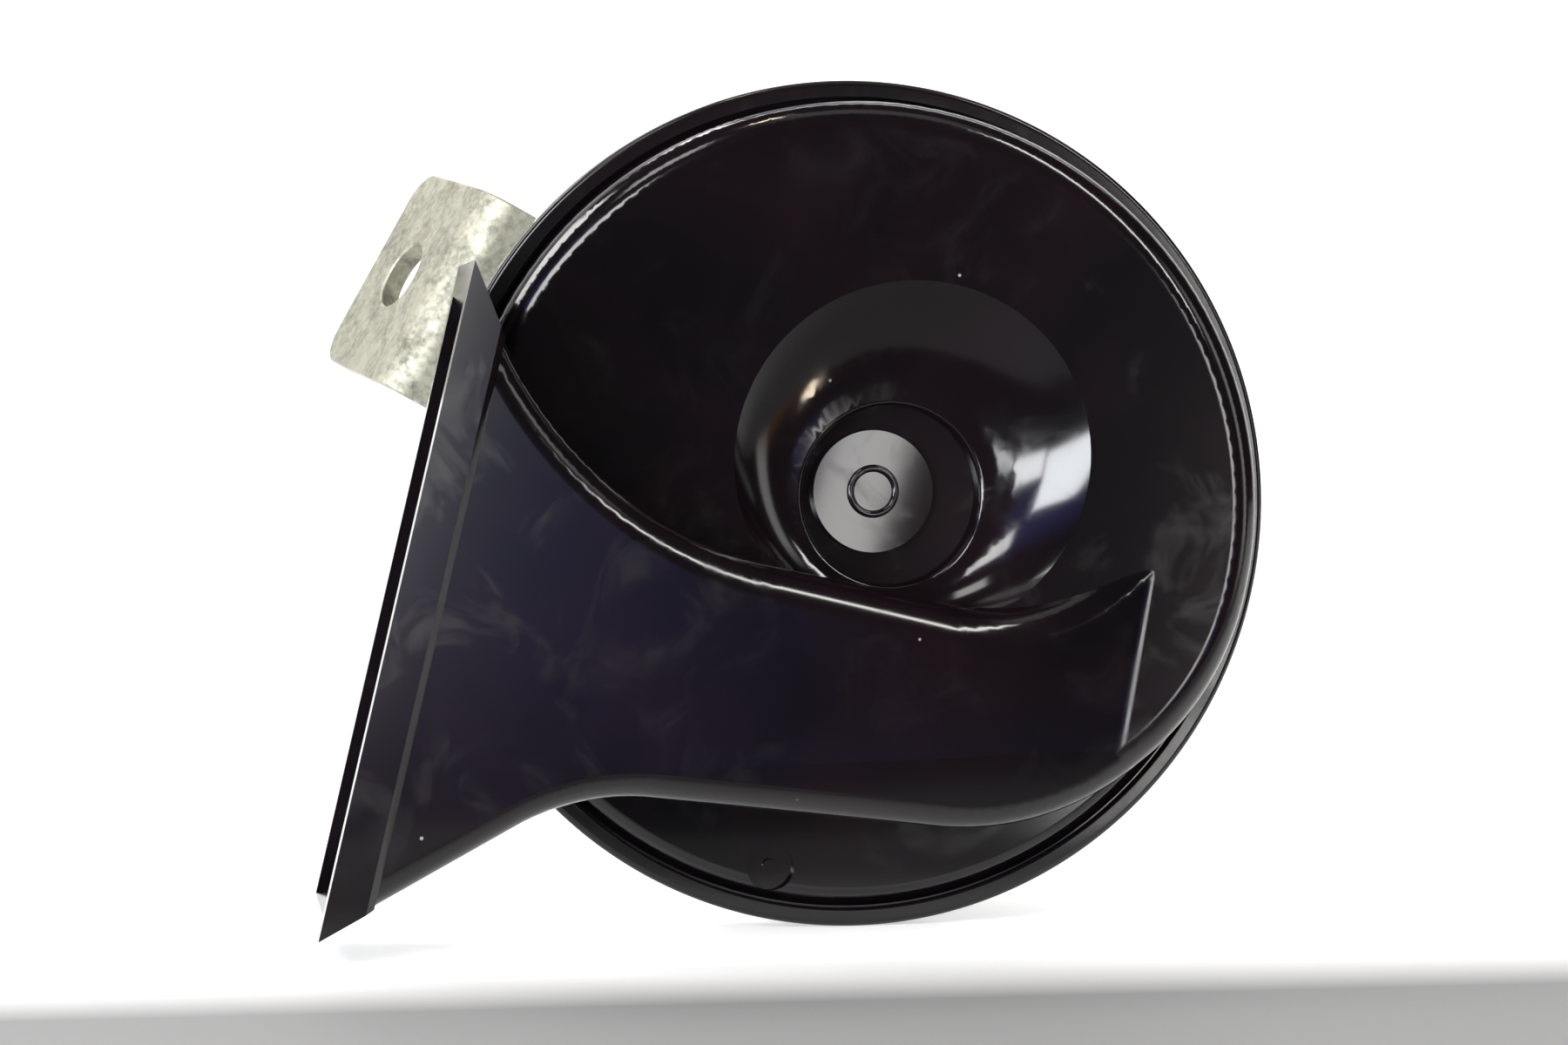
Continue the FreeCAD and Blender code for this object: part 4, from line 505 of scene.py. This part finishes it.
def turn_on_axis(bm, geometry, steps):
    """Turn an outline all the way round the horn's axis."""
    bmesh.ops.spin(bm, geom=geometry, cent=(0, 0, 0), axis=(0, 1, 0), angle=FULL_TURN,
                   steps=steps, use_merge=True)
    bmesh.ops.remove_doubles(bm, verts=bm.verts, dist=WELD)


def even_normals(piece, mode="FACE_AREA", weight=80):
    """Let large flat faces set the normals along their borders."""
    weighted = piece.modifiers.new("Even normals", "WEIGHTED_NORMAL")
    weighted.keep_sharp = True
    weighted.mode = mode
    weighted.weight = weight


def dress(node, name, rounding=0.0, **weighting):
    """Replace a CAD node by a welded, smooth copy, with its edges rounded if asked."""
    sharp = bpy.context.scene.horn_sizes.sharp
    bm = welded(node)
    crease(bm, sharp)
    piece = piece_from(bm, name, slot_of(node), (node,))
    if rounding:
        bevel = piece.modifiers.new("Rounded edges", "BEVEL")
        bevel.width = rounding
        bevel.segments = 2
        bevel.limit_method = "ANGLE"
        bevel.angle_limit = BEVEL_FROM
        bevel.use_clamp_overlap = True
    even_normals(piece, **weighting)
    return piece


def height_powers(heights):
    """Powers of the height about the bowl's middle, and their slopes."""
    scaled = ((heights - BOWL_MIDDLE) / BOWL_HALF)[:, None]
    powers = np.arange(BOWL_DEGREE + 1)
    slopes = powers * scaled ** np.maximum(powers - 1, 0) / BOWL_HALF
    return scaled ** powers, slopes


def bowl_guess(heights, item):
    """One value of the bowl's three circles, carried on to any height."""
    total = np.zeros_like(heights)
    for index, circle in enumerate(BOWL_CIRCLES):
        weight = np.ones_like(heights)
        for other, rival in enumerate(BOWL_CIRCLES):
            if other != index:
                weight = weight * (heights - rival[3]) / (circle[3] - rival[3])
        total += circle[item] * weight
    return total


def bowl_surface(u, w, z):
    """Fit circles of changing centre and radius to the bowl; which points lie on it, and the
    surface's normal at each point."""
    away = np.hypot(u - bowl_guess(z, 0), w - bowl_guess(z, 1)) - bowl_guess(z, 2)
    near = (z > BOWL_LOW) & (z < BOWL_HIGH) & (np.abs(away) < BOWL_SEARCH)
    kept, reach = near, BOWL_START
    terms, slopes = height_powers(z)
    for _ in range(BOWL_ROUNDS):
        part = terms[kept]
        rows = np.hstack([2 * u[kept, None] * part, 2 * w[kept, None] * part, part])
        fit = np.linalg.lstsq(rows, u[kept] ** 2 + w[kept] ** 2, rcond=None)[0]
        middle_u, middle_w, rest = np.split(fit, 3)
        centre_u, centre_w = terms @ middle_u, terms @ middle_w
        square = terms @ rest + centre_u ** 2 + centre_w ** 2
        away = np.hypot(u - centre_u, w - centre_w) - np.sqrt(np.maximum(square, 0.0))
        reach = max(reach * BOWL_SHRINK, BOWL_FIT)
        kept = near & (np.abs(away) < reach)
    lean_u, lean_w = slopes @ middle_u, slopes @ middle_w
    normal = np.stack([centre_u - u, centre_w - w,
                       u * lean_u + w * lean_w + (slopes @ rest) / 2], axis=1)
    return kept, normal / np.linalg.norm(normal, axis=1)[:, None]


def smooth_bowl(piece):
    """Give the bowl's triangles the normals of the smooth surface that they stand for."""
    graph = bpy.context.evaluated_depsgraph_get()
    mesh = bpy.data.meshes.new_from_object(piece.evaluated_get(graph),
                                           preserve_all_data_layers=True, depsgraph=graph)
    places = np.empty(len(mesh.vertices) * 3)
    mesh.vertices.foreach_get("co", places)
    places = places.reshape(-1, 3) / MM
    right, up = places[:, 0] - AXIS_X / MM, places[:, 2] - AXIS_Z / MM
    lean = bpy.context.scene.horn_sizes.lean
    across, aside = math.cos(lean), math.sin(lean)
    kept, normal = bowl_surface(right * across - up * aside, right * aside + up * across,
                                SEAT_Y / MM - places[:, 1])
    turned = np.stack([normal[:, 0] * across + normal[:, 1] * aside, -normal[:, 2],
                       normal[:, 1] * across - normal[:, 0] * aside], axis=1)
    corners = np.empty(len(mesh.loops) * 3)
    mesh.corner_normals.foreach_get("vector", corners)
    corners = corners.reshape(-1, 3)
    for face in mesh.polygons:
        if all(kept[index] and face.normal.dot(Vector(turned[index])) > BOWL_ALIGNED
               for index in face.vertices):
            for loop in face.loop_indices:
                corners[loop] = turned[mesh.loops[loop].vertex_index]
    mesh.normals_split_custom_set(corners.tolist())
    piece.modifiers.clear()
    piece.data = mesh


class CARHORN_OT_shells(bpy.types.Operator):
    """Smooth the two moulded shells of the sound duct and give them their gloss"""

    bl_idname = "car_horn.shells"
    bl_label = "Duct shells"

    def execute(self, context):
        front = dress("trumpet_front_shell", "front_shell_moulding",
                      mode="FACE_AREA_WITH_ANGLE", weight=50)
        smooth_bowl(front)
        dress("trumpet_rear_shell", "rear_shell_moulding")
        return {"FINISHED"}


class CARHORN_OT_hub(bpy.types.Operator):
    """Add the dished disc with its small ring in the floor of the hub hole"""

    bl_idname = "car_horn.hub"
    bl_label = "Hub disc"

    def execute(self, context):
        sizes = context.scene.horn_sizes
        centre = in_snail(*HUB_DISC_PLACE)
        self.disc(sizes, centre)
        self.ring(sizes, centre)
        return {"FINISHED"}

    def disc(self, sizes, centre):
        """A round disc in rings, pulled into its hollow, with a wall down to its back."""
        segments, rings = 96, 16
        bm = bmesh.new()
        bmesh.ops.create_circle(bm, cap_ends=True, radius=sizes.cap_radius, segments=segments)
        for _ in range(rings - 1):
            top = [face for face in bm.faces if len(face.verts) > 4]
            bmesh.ops.inset_region(bm, faces=top, thickness=sizes.cap_radius / rings,
                                   use_boundary=True, use_even_offset=True)
        rim = [edge for edge in bm.edges if edge.is_boundary]
        for vert in bm.verts:
            vert.co.z = self.hollow(sizes, vert.co.x, vert.co.y)
        wall = bmesh.ops.extrude_edge_only(bm, edges=rim)
        for item in wall["geom"]:
            if isinstance(item, bmesh.types.BMVert):
                item.co.z = 0.0
        self.stand(bm, centre)
        bmesh.ops.recalc_face_normals(bm, faces=bm.faces)
        crease(bm, TURNED_CREASE)
        piece_from(bm, "hub_disc_dish", "rear_plastic")

    def ring(self, sizes, centre):
        """A small round ring that follows the hollow."""
        section_steps, ring_steps = 16, 72
        bm = bmesh.new()
        bmesh.ops.create_circle(bm, cap_ends=False, radius=sizes.ring_wire,
                                segments=section_steps)
        bmesh.ops.rotate(bm, verts=bm.verts, matrix=QUARTER_TURN)
        bmesh.ops.translate(bm, verts=bm.verts, vec=(sizes.ring_radius, 0, 0))
        bmesh.ops.spin(bm, geom=bm.verts[:] + bm.edges[:], cent=(0, 0, 0), axis=(0, 0, 1),
                       angle=FULL_TURN, steps=ring_steps, use_merge=True)
        for vert in bm.verts:
            vert.co.z += self.hollow(sizes, vert.co.x, vert.co.y)
        self.stand(bm, centre)
        bmesh.ops.recalc_face_normals(bm, faces=bm.faces)
        crease(bm, TURNED_CREASE)
        piece_from(bm, "hub_disc_ring", "rear_plastic")

    def hollow(self, sizes, x, y):
        """Height of the dished face, which is lowest beside the disc on the right."""
        thinnest = 0.08 * MM
        near = (sizes.dish_aside - sizes.cap_radius) ** 2
        rise = ((x - sizes.dish_aside) ** 2 + y ** 2 - near) / (2 * sizes.dish_radius)
        return thinnest + rise

    def stand(self, bm, centre):
        """Turn a level form to face the front and put it in its place."""
        bmesh.ops.rotate(bm, verts=bm.verts, matrix=QUARTER_TURN)
        bmesh.ops.translate(bm, verts=bm.verts, vec=centre)


class CARHORN_OT_pot(bpy.types.Operator):
    """Turn the drawn steel pot with its rolled rim as one smooth form"""

    bl_idname = "car_horn.pot"
    bl_label = "Steel pot"

    def execute(self, context):
        sizes = context.scene.horn_sizes
        low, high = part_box("housing_pot")
        sheet, neck = sizes.sheet, sizes.pot_bore
        rim = (high.x - low.x) / 2
        seat, lip, back = SEAT_Y, low.y, high.y
        mouth, end = rim - sizes.flange, rim - sizes.flange - sizes.cup_taper
        bm = bmesh.new()
        outline = [
            (neck, back), (end, back), (mouth, seat + sheet), (rim, seat + sheet), (rim, lip),
            (rim - sizes.lip, lip), (rim - sizes.lip, lip + sheet), (rim - sheet, lip + sheet),
            (rim - sheet, seat), (mouth - sheet, seat), (end - sheet, back - sheet),
            (neck, back - sheet),
        ]
        verts = [bm.verts.new((radius, y, 0.0)) for radius, y in outline]
        edges = [bm.edges.new(pair) for pair in zip(verts, verts[1:] + verts[:1])]
        turn_on_axis(bm, verts + edges, steps=288)
        # Circles of edges, each at a radius and a depth, and how far they are rounded.
        rounds = (((rim, lip), 0.72 * MM), ((rim, seat + sheet), sheet * 0.98),
                  ((end, back), 2.7 * MM), ((end - sheet, back - sheet), 1.9 * MM),
                  ((rim - sizes.lip, lip), 0.2 * MM), ((mouth, seat + sheet), 1.2 * MM))
        for place, width in rounds:
            self.round_off(bm, place, width)
        bmesh.ops.recalc_face_normals(bm, faces=bm.faces)
        bmesh.ops.translate(bm, verts=bm.verts, vec=(AXIS_X, 0.0, AXIS_Z))
        crease(bm, sizes.sharp)
        pot = piece_from(bm, "turned_pot", slot_of("housing_pot"), ("housing_pot",))
        even_normals(pot)
        return {"FINISHED"}

    def round_off(self, bm, place, width):
        """Bevel the circle of edges at a radius and a depth."""
        def on_circle(vert):
            radius = math.hypot(vert.co.x, vert.co.z)
            return abs(radius - place[0]) < WELD and abs(vert.co.y - place[1]) < WELD
        edges = [edge for edge in bm.edges if all(on_circle(vert) for vert in edge.verts)]
        bmesh.ops.bevel(bm, geom=edges, offset=width, segments=6, profile=0.5, affect="EDGES",
                        material=-1)


class CARHORN_OT_bracket(bpy.types.Operator):
    """Round the edges of the plated bracket"""

    bl_idname = "car_horn.bracket"
    bl_label = "Bracket"

    def execute(self, context):
        dress("mounting_bracket", "plated_bracket", context.scene.horn_sizes.edge_round)
        return {"FINISHED"}


class CARHORN_OT_fasteners(bpy.types.Operator):
    """Dress nut, washer, rivets and screw, and cut the stud's thread"""

    bl_idname = "car_horn.fasteners"
    bl_label = "Fasteners"

    def execute(self, context):
        sizes = context.scene.horn_sizes
        fine = sizes.edge_round * FINE_SHARE
        dress("stud_nut", "hexagon_nut", fine)
        dress("lock_washer", "split_washer", fine)
        dress("breaker_rivets", "breaker_rivet_pair")
        dress("terminal_rivets", "terminal_rivet_pair")
        dress("adjusting_screw", "slotted_screw", fine)
        self.core(sizes)
        return {"FINISHED"}

    def core(self, sizes):
        """Turn the magnet core with its threaded stud."""
        low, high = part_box("magnet_core")
        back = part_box("housing_pot")[1].y
        stud_radius = 4.0 * MM
        root = stud_radius - sizes.thread_depth
        pole = (high.x - low.x) / 2
        neck, chamfer, sheet = sizes.pot_bore, 0.8 * MM, sizes.sheet
        plain, run_out, thread_start = 0.6 * MM, 1.2 * MM, 1.4 * MM
        outline = [
            (0.0, high.y), (root - chamfer * 0.5, high.y), (root, high.y - chamfer * 0.6),
            (root, back + run_out), (stud_radius, back + plain), (stud_radius, back),
            (neck, back), (neck, back - sheet), (pole, back - sheet), (pole, low.y), (0.0, low.y),
        ]
        bm = bmesh.new()
        verts = [bm.verts.new((radius, y, 0.0)) for radius, y in outline]
        edges = [bm.edges.new(pair) for pair in zip(verts, verts[1:])]
        turn_on_axis(bm, verts + edges, steps=72)
        bmesh.ops.recalc_face_normals(bm, faces=bm.faces)
        self.thread(bm, sizes, root, stud_radius, back + thread_start, high.y - chamfer)
        bmesh.ops.translate(bm, verts=bm.verts, vec=(AXIS_X, 0.0, AXIS_Z))
        crease(bm, sizes.sharp)
        piece_from(bm, "core_with_stud", slot_of("magnet_core"), ("magnet_core",))

    def thread(self, bm, sizes, root, crest, start, end):
        """Carry a thread section along the stud in a screw."""
        pitch, steps = sizes.pitch, 36
        turns = (end - start) / pitch - 1.0
        bury = 0.15 * MM
        half_root, half_crest = pitch * 0.46, pitch * 0.07
        section = [
            (root - bury, -half_root), (root, -half_root), (crest, -half_crest),
            (crest, half_crest), (root, half_root), (root - bury, half_root),
        ]
        verts = [bm.verts.new((radius, start + half_root + y, 0.0)) for radius, y in section]
        first = bm.faces.new(verts)
        count = int(turns * steps)
        made = bmesh.ops.spin(bm, geom=[first], cent=(0, 0, 0), axis=(0, 1, 0),
                              dvec=(0.0, pitch / steps, 0.0),
                              angle=FULL_TURN * count / steps, steps=count)
        ends = [item for item in made["geom_last"] if isinstance(item, bmesh.types.BMFace)]
        shell = set()
        todo = [first] + ends
        while todo:
            face = todo.pop()
            if face in shell:
                continue
            shell.add(face)
            for edge in face.edges:
                todo.extend(edge.link_faces)
        bmesh.ops.recalc_face_normals(bm, faces=list(shell))


class CARHORN_OT_terminals(bpy.types.Operator):
    """Dress the terminal block and its two blades"""

    bl_idname = "car_horn.terminals"
    bl_label = "Terminals"

    def execute(self, context):
        rounding = context.scene.horn_sizes.edge_round
        dress("terminal_block", "terminal_block_moulding", rounding)
        dress("live_terminal_blade", "live_blade", rounding * FINE_SHARE)
        dress("earth_terminal_blade", "earth_blade", rounding * FINE_SHARE)
        return {"FINISHED"}


class CARHORN_OT_drive(bpy.types.Operator):
    """Finish the diaphragm, armature, coil and contact breaker inside the pot"""

    bl_idname = "car_horn.drive"
    bl_label = "Drive"

    def execute(self, context):
        kept = {node: piece for node, piece in frame["nodes"].items() if not piece.hide_render}
        for node, piece in kept.items():
            for slot in piece.material_slots:
                slot.material = finishes[slot_of(node)]
        return {"FINISHED"}


class CARHORN_OT_stage(bpy.types.Operator):
    """Set the pale floor and backdrop, the soft lamps and the camera"""

    bl_idname = "car_horn.stage"
    bl_label = "Stage"

    def execute(self, context):
        stage = context.scene.horn_stage
        self.floor(stage)
        self.world(context.scene, stage)
        ring_face = 8.0
        centre = on_axis(0.0, 0.0, ring_face)
        for lamp in self.lamps():
            self.lamp(centre, *lamp)
        backdrop = Vector((AXIS_X, 1.25, 0.35))
        self.lamp(backdrop, "Backdrop lamp", 0, 52, 0.95, (1, 0, 0), (2.4, 0.30), 8.0,
                  (1.0, 1.0, 1.0), 0.2)
        self.camera(context.scene, stage)
        return {"FINISHED"}

    def lamps(self):
        """Name, azimuth and height in degrees, distance, long side, size, radiance, colour, and
        the share of the lamp over which it fades."""
        warm, white, cool = (1.0, 0.84, 0.62), (1.0, 0.99, 0.97), (0.95, 0.98, 1.0)
        blue, brown = (0.20, 0.26, 1.0), (1.0, 0.50, 0.22)
        upright, level = (0.0, 0.0, 1.0), (1.0, 0.0, 0.0)
        return [
            ("Left window", -57, 3, 0.80, upright, (0.31, 0.26), 24.0, cool, 0.1),
            ("Left window side", -37, -4, 0.80, upright, (0.13, 0.30), 23.0, cool, 0.1),
            ("Left window end", -16, -7, 0.80, upright, (0.08, 0.28), 14.0, cool, 0.3),
            ("Left blue wall", -52, 14, 0.95, level, (1.10, 0.85), 0.95, blue, 0.7),
            ("Left side strip", -96, 42, 0.60, level, (0.32, 0.12), 16.0, white, 0.2),
            ("Front left strip", -30, 27, 0.60, level, (0.26, 0.14), 16.0, white, 0.2),
            ("Upper left strip", -42, 56, 0.60, level, (0.16, 0.14), 8.0, white, 0.2),
            ("Rear left strip", -142, 52, 0.65, level, (0.34, 0.12), 8.0, white, 0.2),
            ("Key strip", 50, 38, 0.60, upright, (0.46, 0.05), 24.0, white, 0.2),
            ("Right wall", 68, 8, 0.75, upright, (0.70, 0.20), 2.8, white, 0.5),
            ("Front panel", 19.3, -1, 1.66, (0.33, 0.0, 0.94), (0.50, 0.19), 11.0, white, 0.12),
            ("Front blue wall", 24, -7, 1.77, level, (0.44, 0.42), 0.62, blue, 0.9),
            ("Low brown wall", 62, -26, 0.62, level, (0.55, 0.34), 1.3, brown, 0.8),
            ("Low spot", 38, -24, 0.55, upright, (0.05, 0.05), 34.0, warm, 0.3),
            ("Crown spot", -60, 82, 0.55, level, (0.05, 0.05), 34.0, warm, 0.3),
            ("Top softbox", 35, 74, 0.70, level, (0.50, 0.30), 0.8, white, 0.5),
        ]

    def lamp(self, centre, name, azimuth, height, distance, along, size, radiance, tone, fade):
        """A soft box that faces the horn, with its long side along a direction."""
        away = heading(azimuth, height)
        side = Vector(along) - away * away.dot(Vector(along))
        side.normalize()
        data = bpy.data.lights.new(name, "AREA")
        data.shape = "RECTANGLE"
        data.size, data.size_y = size
        data.energy = radiance * math.pi * size[0] * size[1]
        data.color = tone
        self.fade_out(data, fade)
        lamp = bpy.data.objects.new(name, data)
        turn = Matrix((side, away.cross(side), away)).transposed()
        lamp.matrix_world = Matrix.Translation(centre + away * distance) @ turn.to_4x4()
        bpy.context.scene.collection.objects.link(lamp)

    def fade_out(self, data, share):
        """Let a soft box fade towards its edges."""
        data.use_nodes = True
        tree = data.node_tree
        place = tree.nodes.new("ShaderNodeSeparateXYZ")
        parametric = tree.nodes.new("ShaderNodeNewGeometry").outputs["Parametric"]
        tree.links.new(parametric, place.inputs[0])
        lit, half = 1.0, 0.5
        for axis in ("X", "Y"):
            off = arithmetic(tree, "SUBTRACT", place.outputs[axis], half)
            off = arithmetic(tree, "ABSOLUTE", off, 0.0)
            lit = arithmetic(tree, "MULTIPLY", ramp(tree, off, half, half - half * share), lit)
        tree.links.new(lit, tree.nodes["Emission"].inputs["Strength"])

    def floor(self, stage):
        """A floor that turns up into a backdrop behind the horn, in metres."""
        half_width, front, back, height, bend = 2.0, -0.13, 1.3, 1.8, 0.6
        bm = bmesh.new()
        points = [(front, 0.0), (back - bend, 0.0)]
        for index in range(1, stage.sweep_steps + 1):
            turn = math.radians(90.0) * index / stage.sweep_steps
            points.append((back - bend + bend * math.sin(turn), bend - bend * math.cos(turn)))
        points.append((back, height))
        verts = [bm.verts.new((-half_width, y, FLOOR_Z + z)) for y, z in points]
        edges = [bm.edges.new(pair) for pair in zip(verts, verts[1:])]
        made = bmesh.ops.extrude_edge_only(bm, edges=edges)
        moved = [item for item in made["geom"] if isinstance(item, bmesh.types.BMVert)]
        bmesh.ops.translate(bm, verts=moved, vec=(2 * half_width, 0.0, 0.0))
        for face in bm.faces:
            face.smooth = True
        bmesh.ops.recalc_face_normals(bm, faces=bm.faces)
        mesh = bpy.data.meshes.new("floor_sweep")
        bm.to_mesh(mesh)
        bm.free()
        sweep = bpy.data.objects.new("floor_sweep", mesh)
        bpy.context.scene.collection.objects.link(sweep)
        mesh.materials.append(self.floor_finish(stage))

    def floor_finish(self, stage):
        """Pale floor, white behind the horn and falling off in front of it to a darker grey, a
        painted shade that the gloss plastic reflects.
        """
        material = bpy.data.materials.new("pale_floor")
        material.use_nodes = True
        tree = material.node_tree
        shader = tree.nodes["Principled BSDF"]
        place = tree.nodes.new("ShaderNodeSeparateXYZ")
        tree.links.new(tree.nodes.new("ShaderNodeTexCoord").outputs["Object"], place.inputs[0])
        # The floor is painted darker in front of the horn, as painted shade for the gloss to
        # reflect, and stays pale behind it.
        grey_from, white_from = -0.092, -0.058
        behind = ramp(tree, place.outputs["Y"], grey_from, white_from)
        tone = blend_colour(tree, behind, tuple(stage.floor_front_shade), tuple(stage.floor))
        tree.links.new(tone, shader.inputs["Base Color"])
        shader.inputs["Roughness"].default_value = 0.65
        shader.inputs["Specular IOR Level"].default_value = 0.2
        shader.inputs["Emission Color"].default_value = (1.0, 1.0, 1.0, 1.0)
        path = tree.nodes.new("ShaderNodeLightPath")
        seen = arithmetic(tree, "MAXIMUM", path.outputs["Is Camera Ray"],
                          path.outputs["Is Glossy Ray"])
        seen = arithmetic(tree, "MAXIMUM", seen, path.outputs["Is Transmission Ray"])
        glow = arithmetic(tree, "MULTIPLY", seen, stage.floor_glow)
        glow = arithmetic(tree, "MULTIPLY", glow, behind)
        tree.links.new(glow, shader.inputs["Emission Strength"])
        return material

    def world(self, scene, stage):
        """A dim, even light from all round."""
        world = bpy.data.worlds.new("dim_studio")
        world.use_nodes = True
        back = world.node_tree.nodes["Background"]
        back.inputs["Color"].default_value = (1.0, 0.98, 0.97, 1.0)
        back.inputs["Strength"].default_value = stage.ambient
        scene.world = world

    def camera(self, scene, stage):
        """The photograph's view: a little left of the axis and a little above it."""
        aim = Vector((AXIS_X + stage.aim_x, SEAT_Y, AXIS_Z + stage.aim_z))
        level = math.cos(stage.elevation)
        away = Vector((-math.sin(stage.azimuth) * level, -math.cos(stage.azimuth) * level,
                       math.sin(stage.elevation)))
        data = bpy.data.cameras.new("Photograph view")
        data.sensor_width = 36.0
        data.lens = stage.lens
        data.clip_start, data.clip_end = 0.02, 20.0
        camera = bpy.data.objects.new("Photograph view", data)
        camera.location = aim + away * stage.distance
        camera.rotation_euler = (-away).to_track_quat("-Z", "Y").to_euler()
        scene.collection.objects.link(camera)
        scene.camera = camera
        scene.view_settings.view_transform = "Standard"


class CARHORN_PT_panel(bpy.types.Panel):
    """Buttons for the pieces of the horn"""

    bl_idname = "CARHORN_PT_panel"
    bl_label = "Car horn"
    bl_space_type = "VIEW_3D"
    bl_region_type = "UI"
    bl_category = "Car horn"

    def draw(self, context):
        """List the operators, and under them their sizes and colours."""
        for operator in OPERATORS:
            self.layout.operator(operator.bl_idname)
        for settings in ("horn_colours", "horn_sizes", "horn_stage"):
            group = getattr(context.scene, settings)
            for name in group.bl_rna.properties.keys():
                if name not in {"rna_type", "name"}:
                    self.layout.prop(group, name)


OPERATORS = (CARHORN_OT_shells, CARHORN_OT_hub, CARHORN_OT_pot, CARHORN_OT_bracket,
             CARHORN_OT_fasteners, CARHORN_OT_terminals, CARHORN_OT_drive, CARHORN_OT_stage)
GROUPS = (("horn_colours", HornColours), ("horn_sizes", HornSizes), ("horn_stage", HornStage))


def register():
    """Add the settings, the operators and the panel."""
    for name, group in GROUPS:
        bpy.utils.register_class(group)
        setattr(bpy.types.Scene, name, PointerProperty(type=group))
    for item in OPERATORS + (CARHORN_PT_panel,):
        bpy.utils.register_class(item)


def unregister():
    """Take them away again."""
    for item in reversed(OPERATORS + (CARHORN_PT_panel,)):
        bpy.utils.unregister_class(item)
    for name, group in reversed(GROUPS):
        delattr(bpy.types.Scene, name)
        bpy.utils.unregister_class(group)


def main():
    """Build the whole horn."""
    register()
    finishes.update(make_finishes(bpy.context.scene.horn_colours))
    bpy.ops.car_horn.shells()
    bpy.ops.car_horn.hub()
    bpy.ops.car_horn.pot()
    bpy.ops.car_horn.bracket()
    bpy.ops.car_horn.fasteners()
    bpy.ops.car_horn.terminals()
    bpy.ops.car_horn.drive()
    bpy.ops.car_horn.stage()


if __name__ == "__main__":
    main()
